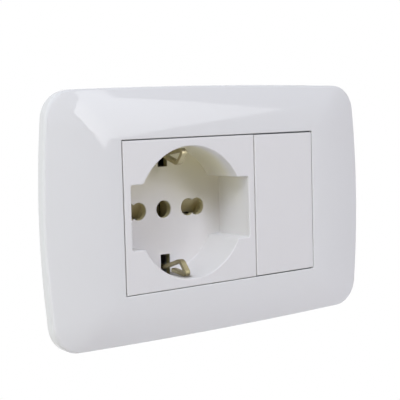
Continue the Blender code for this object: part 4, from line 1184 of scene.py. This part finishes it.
class ScrewTree(NodeTree):
    """A slotted screw along +Z from its head's top at the origin: head, edge bead, shank and thread."""

    HEAD_SIDES = 56
    BEAD_SHARE = 0.22
    BLADE_REACH = 2.4
    CORE_SIDES = 28
    CORE_OVERLAP = 0.0002
    THREAD_ROOT = 0.45
    THREAD_STEPS = 20
    THREAD_SIDES = 4
    PLAIN_TURNS = 2.2

    def __init__(self) -> None:
        """Builds the tree."""
        super().__init__("slotted_screw", head_radius=0.003, head_height=0.002, shank_radius=0.0015,
                         length=0.01, slot_width=0.0008, slot_depth=0.0008, pitch=0.0005,
                         place=(0.0, 0.0, 0.0), turn=(0.0, 0.0, 0.0), material=ZINC.material())
        place, turn = self.given("place", "turn")
        pitch, shank_radius, length = self.given("pitch", "shank_radius", "length")
        start = self.given("head_height")[0] - self.CORE_OVERLAP
        core_length = length - start
        core = self.add("GeometryNodeMeshCylinder", inputs={
            "Vertices": self.CORE_SIDES, "Radius": shank_radius - pitch * self.THREAD_ROOT,
            "Depth": core_length})
        run = core_length - pitch * self.PLAIN_TURNS
        ridge = pitch * 0.5
        thread = self.coil(shank_radius - ridge, run, run / pitch, self.THREAD_STEPS, ridge,
                           self.THREAD_SIDES)
        whole = self.add("GeometryNodeJoinGeometry", inputs={"Geometry": [
            self.head(), self.raised(core, start + core_length * 0.5), self.raised(thread, start + pitch)]})
        self.finish(self.wire(whole), Translation=place, Rotation=turn)

    def head(self) -> Wire:
        """Returns the head: a drum under a narrowing crown, with its slot cut."""
        radius, height = self.given("head_radius", "head_height")
        slot_width, slot_depth = self.given("slot_width", "slot_depth")
        bead = height * self.BEAD_SHARE
        flat = height - bead
        drum = self.add("GeometryNodeMeshCylinder", inputs={
            "Vertices": self.HEAD_SIDES, "Radius": radius, "Depth": flat})
        crown = self.add("GeometryNodeMeshCone", inputs={
            "Vertices": self.HEAD_SIDES, "Radius Top": radius - bead, "Radius Bottom": radius, "Depth": bead})
        whole = self.add("GeometryNodeMeshBoolean", {"operation": "UNION", "solver": "EXACT"}, {
            "Mesh 2": [self.raised(drum, bead + flat * 0.5), self.raised(crown, bead, (pi, 0.0, 0.0))]})
        size = self.add("ShaderNodeCombineXYZ", inputs={
            "X": radius * self.BLADE_REACH, "Y": slot_width, "Z": slot_depth * 2.0})
        blade = self.add("GeometryNodeMeshCube", inputs={"Size": self.wire(size)})
        slotted = self.add("GeometryNodeMeshBoolean", {"operation": "DIFFERENCE", "solver": "EXACT"}, {
            "Mesh 1": self.wire(whole), "Mesh 2": self.wire(blade)})
        return self.wire(slotted)


@dataclass(frozen=True)
class ScrewSizes:
    """One size of slotted screw, by the names of the tree's inputs."""

    head_radius: float
    head_height: float
    shank_radius: float
    length: float
    slot_width: float = 0.0008
    slot_depth: float = 0.0008
    pitch: float = 0.0005


@dataclass(frozen=True)
class Screw:
    """One slotted screw, placed by the middle of its head's slotted face."""

    node: str
    name: str
    sizes: ScrewSizes
    place: Point3
    twist: float
    forward: bool = False

    def build(self, tree: ScrewTree) -> None:
        """Makes the screw with the tree: forward is true where its head faces the front."""
        tip = -pi / 2 if self.forward else pi / 2
        obj = tree.mesh(self.name, **vars(self.sizes), place=self.place,
                        turn=(tip, radians(self.twist), 0.0), material=ZINC.material())
        placed(shaded(obj), self.name, ZINC, self.node)


class SpringTree(NodeTree):
    """A compression spring along +Z from the origin."""

    COIL_STEPS = 26
    WIRE_SIDES = 10

    def __init__(self) -> None:
        """Builds the tree."""
        super().__init__("coil_spring", radius=0.0013, wire=0.0004, height=0.009, turns=7.0,
                         place=(0.0, 0.0, 0.0), material=SPRING_WIRE.material())
        radius, wire, height, turns, place = self.given("radius", "wire", "height", "turns", "place")
        spring = self.coil(radius, height, turns, self.COIL_STEPS, wire * 0.5, self.WIRE_SIDES)
        self.finish(self.wire(spring), Translation=place)


@dataclass
class ShutterSpring:
    """The shutter's spring, built at its full height."""

    x: float = MODULE.socket_x + MODULE.spring_side
    y: float = 0.01325
    bottom: float = 0.00582
    top: float = 0.01522
    travel: float = 0.0052
    radius: float = 0.0013
    wire: float = 0.0004
    turns: float = 7.0

    def build(self) -> None:
        """Builds the spring and puts it in the node's place."""
        height = self.top - self.bottom
        obj = SpringTree().mesh("spring", radius=self.radius, wire=self.wire, height=height - self.wire,
                                turns=self.turns, place=(self.x, self.y, self.bottom + self.wire / 2),
                                material=SPRING_WIRE.material())
        shaded(obj)
        placed(obj, "shutter_coil_spring", SPRING_WIRE, "shutter_spring")
        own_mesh(obj)


# Stage and light


@dataclass(frozen=True)
class Softbox:
    """A square area lamp, aimed at the fitting from an azimuth and an elevation in degrees."""

    name: str
    azimuth: float
    elevation: float
    radiance: float
    colour: Colour
    size: float = 0.36
    distance: float = 1.20

    def build(self) -> None:
        """Makes the lamp, which lights the fitting but isn't mirrored in its gloss."""
        back = towards(self.azimuth, self.elevation)
        data = bpy.data.lights.new(self.name, "AREA")
        data.shape = "SQUARE"
        data.size = self.size
        data.energy = self.radiance * pi * self.size ** 2
        data.color = self.colour
        lamp = bpy.data.objects.new(self.name, data)
        lamp.matrix_world = (Matrix.Translation(back * self.distance)
                             @ back.to_track_quat("Z", "Y").to_matrix().to_4x4())
        lamp.visible_glossy = False
        lamp.visible_camera = False
        bpy.context.scene.collection.objects.link(lamp)


@dataclass(frozen=True)
class WindowPanel:
    """A bright window that the plate mirrors: a flat-lit sheet with its corners in given directions."""

    name: str = "window_panel"
    corners: tuple[Point2, ...] = (
        (12.0, 16.1), (16.0, 1.5), (18.5, -1.4), (23.5, -2.4), (32.4, -0.8), (37.0, 7.2), (46.7, 18.0),
        (43.8, 27.2), (40.6, 36.1), (42.6, 40.5), (46.8, 46.8), (44.6, 46.8), (36.7, 38.3), (22.9, 29.4))
    brightest: Point2 = (13.0, 15.0)
    faintest: Point2 = (45.5, 19.5)
    fall: float = 0.42
    anchor: Point3 = (-0.025, -0.006, 0.030)
    distance: float = 1.30
    radiance: float = 4.35
    colour: Colour = (0.98, 0.99, 1.0)

    def build(self) -> None:
        """Makes the sheet, with its light falling off from its brightest to its faintest direction."""
        bm = bmesh.new()
        bm.faces.new([bm.verts.new(Vector(self.anchor) + towards(*corner) * self.distance)
                      for corner in self.corners])
        bmesh.ops.triangulate(bm, faces=bm.faces)
        panel = linked(self.name, bm)
        material = bpy.data.materials.new(self.name + "_light")
        material.use_nodes = True
        bench = ShaderBench(material.node_tree)
        across = bench.axes()[0]
        left = (towards(*self.brightest) * self.distance).x
        right = (towards(*self.faintest) * self.distance).x
        strength = (1.0 - across.ramp(left, 1.0 / (right - left)) * self.fall) * self.radiance
        glow = bench.add("ShaderNodeEmission", inputs={"Color": (*self.colour, 1.0), "Strength": strength})
        bench.add("ShaderNodeOutputMaterial", inputs={"Surface": bench.wire(glow)})
        panel.data.materials.append(material)
        panel.visible_camera = False
        panel.visible_diffuse = False


LOW_WINDOW = WindowPanel(
    "low_window_panel", corners=((-8.0, -12.0), (-8.0, -30.0), (-45.0, -30.0), (-45.0, -12.0)),
    brightest=(-45.0, -20.0), faintest=(-8.0, -20.0), radiance=3.2, fall=0.0)


@dataclass
class Studio:
    """The camera at the photograph's angle, the lights, the pale floor and the white surroundings."""

    camera_place: Point3 = (-0.203499, -0.260265, 0.032022)
    camera_right: Point3 = (0.79296081, -0.60868057, -0.02685362)
    camera_up: Point3 = (0.07533668, 0.05421783, 0.99568309)
    camera_back: Point3 = (-0.604597, -0.79156073, 0.08884859)
    lens: float = 94.98
    sensor: float = 36.0
    clip: Point2 = (0.01, 50.0)
    floor_z: float = -0.60
    floor_half: float = 8.0
    floor_colour: Colour = (0.82, 0.82, 0.82)
    fade_start: float = 0.75
    fade_gain: float = 1.6
    fill: float = 0.10
    fill_colour: Colour = (1.0, 0.95, 0.80)
    near_white: float = 0.6
    softboxes: tuple[Softbox, ...] = (
        Softbox("key_softbox", -50.0, 46.0, 14.8, (0.832, 0.884, 1.0)),
        Softbox("top_softbox", 0.0, 46.0, 9.5, (0.796, 0.827, 1.0)),
        Softbox("left_softbox", -75.0, 10.0, 8.7, (0.897, 0.949, 1.0)),
        Softbox("front_softbox", 20.0, 28.0, 8.3, (0.845, 0.849, 1.0)),
        Softbox("low_left_softbox", -25.0, -10.0, 1.6, (1.0, 0.670, 0.05)),
        Softbox("low_right_softbox", 70.0, -58.0, 4.2, (0.789, 0.806, 1.0), 0.30, 0.55),
        Softbox("back_left_softbox", -118.0, 0.0, 10.5, (0.95, 0.96, 1.0)),
        Softbox("back_right_softbox", 160.0, 30.0, 15.0, (0.95, 0.96, 1.0)),
    )

    def camera(self) -> None:
        """Makes the camera and gives it to the scene."""
        data = bpy.data.cameras.new("camera")
        data.lens = self.lens
        data.sensor_width = self.sensor
        data.clip_start, data.clip_end = self.clip
        camera = bpy.data.objects.new("camera", data)
        turn = Matrix((self.camera_right, self.camera_up, self.camera_back)).transposed()
        camera.matrix_world = Matrix.Translation(self.camera_place) @ turn.to_4x4()
        bpy.context.scene.collection.objects.link(camera)
        bpy.context.scene.camera = camera

    def floor(self) -> None:
        """Lays a large floor well below the fitting: white where it is seen from far off, pale near by."""
        bm = bmesh.new()
        bmesh.ops.create_grid(bm, x_segments=1, y_segments=1, size=self.floor_half,
                              matrix=Matrix.Translation((0.0, 0.0, self.floor_z)))
        floor = linked("studio_floor", bm)
        material = bpy.data.materials.new("studio_floor_white")
        material.use_nodes = True
        bench = ShaderBench(material.node_tree)
        reach = bench.add("ShaderNodeVectorMath", {"operation": "LENGTH"}, {0: bench.place()})
        far = bench.wire(reach, "Value").ramp(self.fade_start, self.fade_gain)
        matt = bench.add("ShaderNodeBsdfDiffuse", inputs={"Color": (*self.floor_colour, 1.0)})
        white = bench.add("ShaderNodeEmission", inputs={"Color": (1.0, 1.0, 1.0, 1.0), "Strength": 1.0})
        share = bench.seen() * (far * (1.0 - self.near_white) + self.near_white)
        mixed = bench.add("ShaderNodeMixShader", inputs={0: share, 1: bench.wire(matt), 2: bench.wire(white)})
        bench.add("ShaderNodeOutputMaterial", inputs={"Surface": bench.wire(mixed)})
        floor.data.materials.append(material)

    def surroundings(self) -> None:
        """Makes the world: white where it is seen or mirrored, and soft warm light from all round."""
        world = bpy.data.worlds.new("studio")
        bpy.context.scene.world = world
        world.use_nodes = True
        bench = ShaderBench(world.node_tree)
        light = bench.add("ShaderNodeBackground",
                          inputs={"Color": (*self.fill_colour, 1.0), "Strength": self.fill})
        white = bench.add("ShaderNodeBackground", inputs={"Color": (1.0, 1.0, 1.0, 1.0), "Strength": 1.0})
        mixed = bench.add("ShaderNodeMixShader",
                          inputs={0: bench.seen(), 1: bench.wire(light), 2: bench.wire(white)})
        bench.add("ShaderNodeOutputWorld", inputs={"Surface": bench.wire(mixed)})

    def build(self) -> None:
        """Builds the whole studio."""
        self.camera()
        self.floor()
        self.surroundings()
        WindowPanel().build()
        LOW_WINDOW.build()
        for softbox in self.softboxes:
            softbox.build()
        bpy.context.scene.view_settings.view_transform = "Standard"


COARSE_ROUND = 0.00022
FINE_ROUND = 0.00012
CLAMP_ROUND = 0.00015
CONTACT_ROUND = 0.00010


def secondary_pieces() -> list[RoundedCopy]:
    """Returns the pieces that keep their solids' shape and get rounded edges."""
    contacts = [RoundedCopy(f"{pole}_contact", f"{pole}_fork", BRASS, CONTACT_ROUND)
                for pole in ("phase", "neutral")]
    clamps = [RoundedCopy(f"{pole}_clamp_plate", f"{pole}_clamp", ZINC, CLAMP_ROUND)
              for pole in ("phase", "neutral", "earth")]
    return [
        RoundedCopy("mounting_frame", "carrier_frame", FRAME_GREY, COARSE_ROUND),
        RoundedCopy("socket_rear_housing", "rear_housing", HOUSING_GREY, COARSE_ROUND),
        RoundedCopy("shutter", "shutter_plate", SHUTTER_BEIGE, FINE_ROUND, Body.SLIDER),
        RoundedCopy("earth_pin_contact", "earth_tube", BRASS, CONTACT_ROUND),
        RoundedCopy("earth_rivet", "strip_rivet", BRASS, FINE_ROUND),
        *contacts,
        *clamps,
    ]


FRAME_SCREW = ScrewSizes(0.0028, 0.0019, 0.0015, length=0.0269, pitch=0.0006)
HOUSING_SCREW = ScrewSizes(0.0022, 0.0015, 0.0012, length=0.0125, pitch=0.0006)
TERMINAL_SCREW = ScrewSizes(0.0029, 0.0018, 0.0016, length=0.0110)


@dataclass(frozen=True)
class ScrewPlaces:
    """Where the screws stand: the distance to a side, the depth of the head's face, and the height."""

    frame: Point3 = (0.04175, -0.0042, 0.0)
    housing: Point3 = (MODULE.housing_screw[0], 0.0178, MODULE.housing_screw[1])
    terminal: Point3 = (0.01125, 0.0306, -0.0120)
    frame_twist: float = 14.0
    housing_twist: float = 31.0
    terminal_twists: Point3 = (12.0, -38.0, 65.0)

    def screws(self) -> list[Screw]:
        """Returns the frame's, the housing's and the terminals' screws."""
        x = MODULE.socket_x
        made = []
        for side, word in ((-1, "left"), (1, "right")):
            across, depth, height = self.frame
            made.append(Screw(f"frame_screw_{word}", f"box_screw_{word}", FRAME_SCREW,
                              (side * across, depth, height), side * self.frame_twist, forward=True))
        for side, word in ((1, "upper"), (-1, "lower")):
            across, depth, height = self.housing
            made.append(Screw(f"housing_screw_{word}", f"corner_screw_{word}", HOUSING_SCREW,
                              (x + side * across, depth, side * height), side * self.housing_twist))
        for side, pole, twist in zip((1, -1, 0), ("phase", "neutral", "earth"), self.terminal_twists):
            across, depth, height = self.terminal
            made.append(Screw(f"{pole}_terminal_screw", f"{pole}_screw", TERMINAL_SCREW,
                              (x + side * across, depth, height), twist))
        return made


def main() -> None:
    """Builds the pieces in order, then the studio."""
    logging.basicConfig(level=logging.INFO, format="%(name)s: %(message)s")
    CoverPlate().build()
    SocketFront().build()
    BlankCover().build()
    EarthStrip().build()
    for piece in secondary_pieces():
        piece.build()
    tree = ScrewTree()
    for screw in ScrewPlaces().screws():
        screw.build(tree)
    ShutterSpring().build()
    Studio().build()


if __name__ == "__main__":
    main()
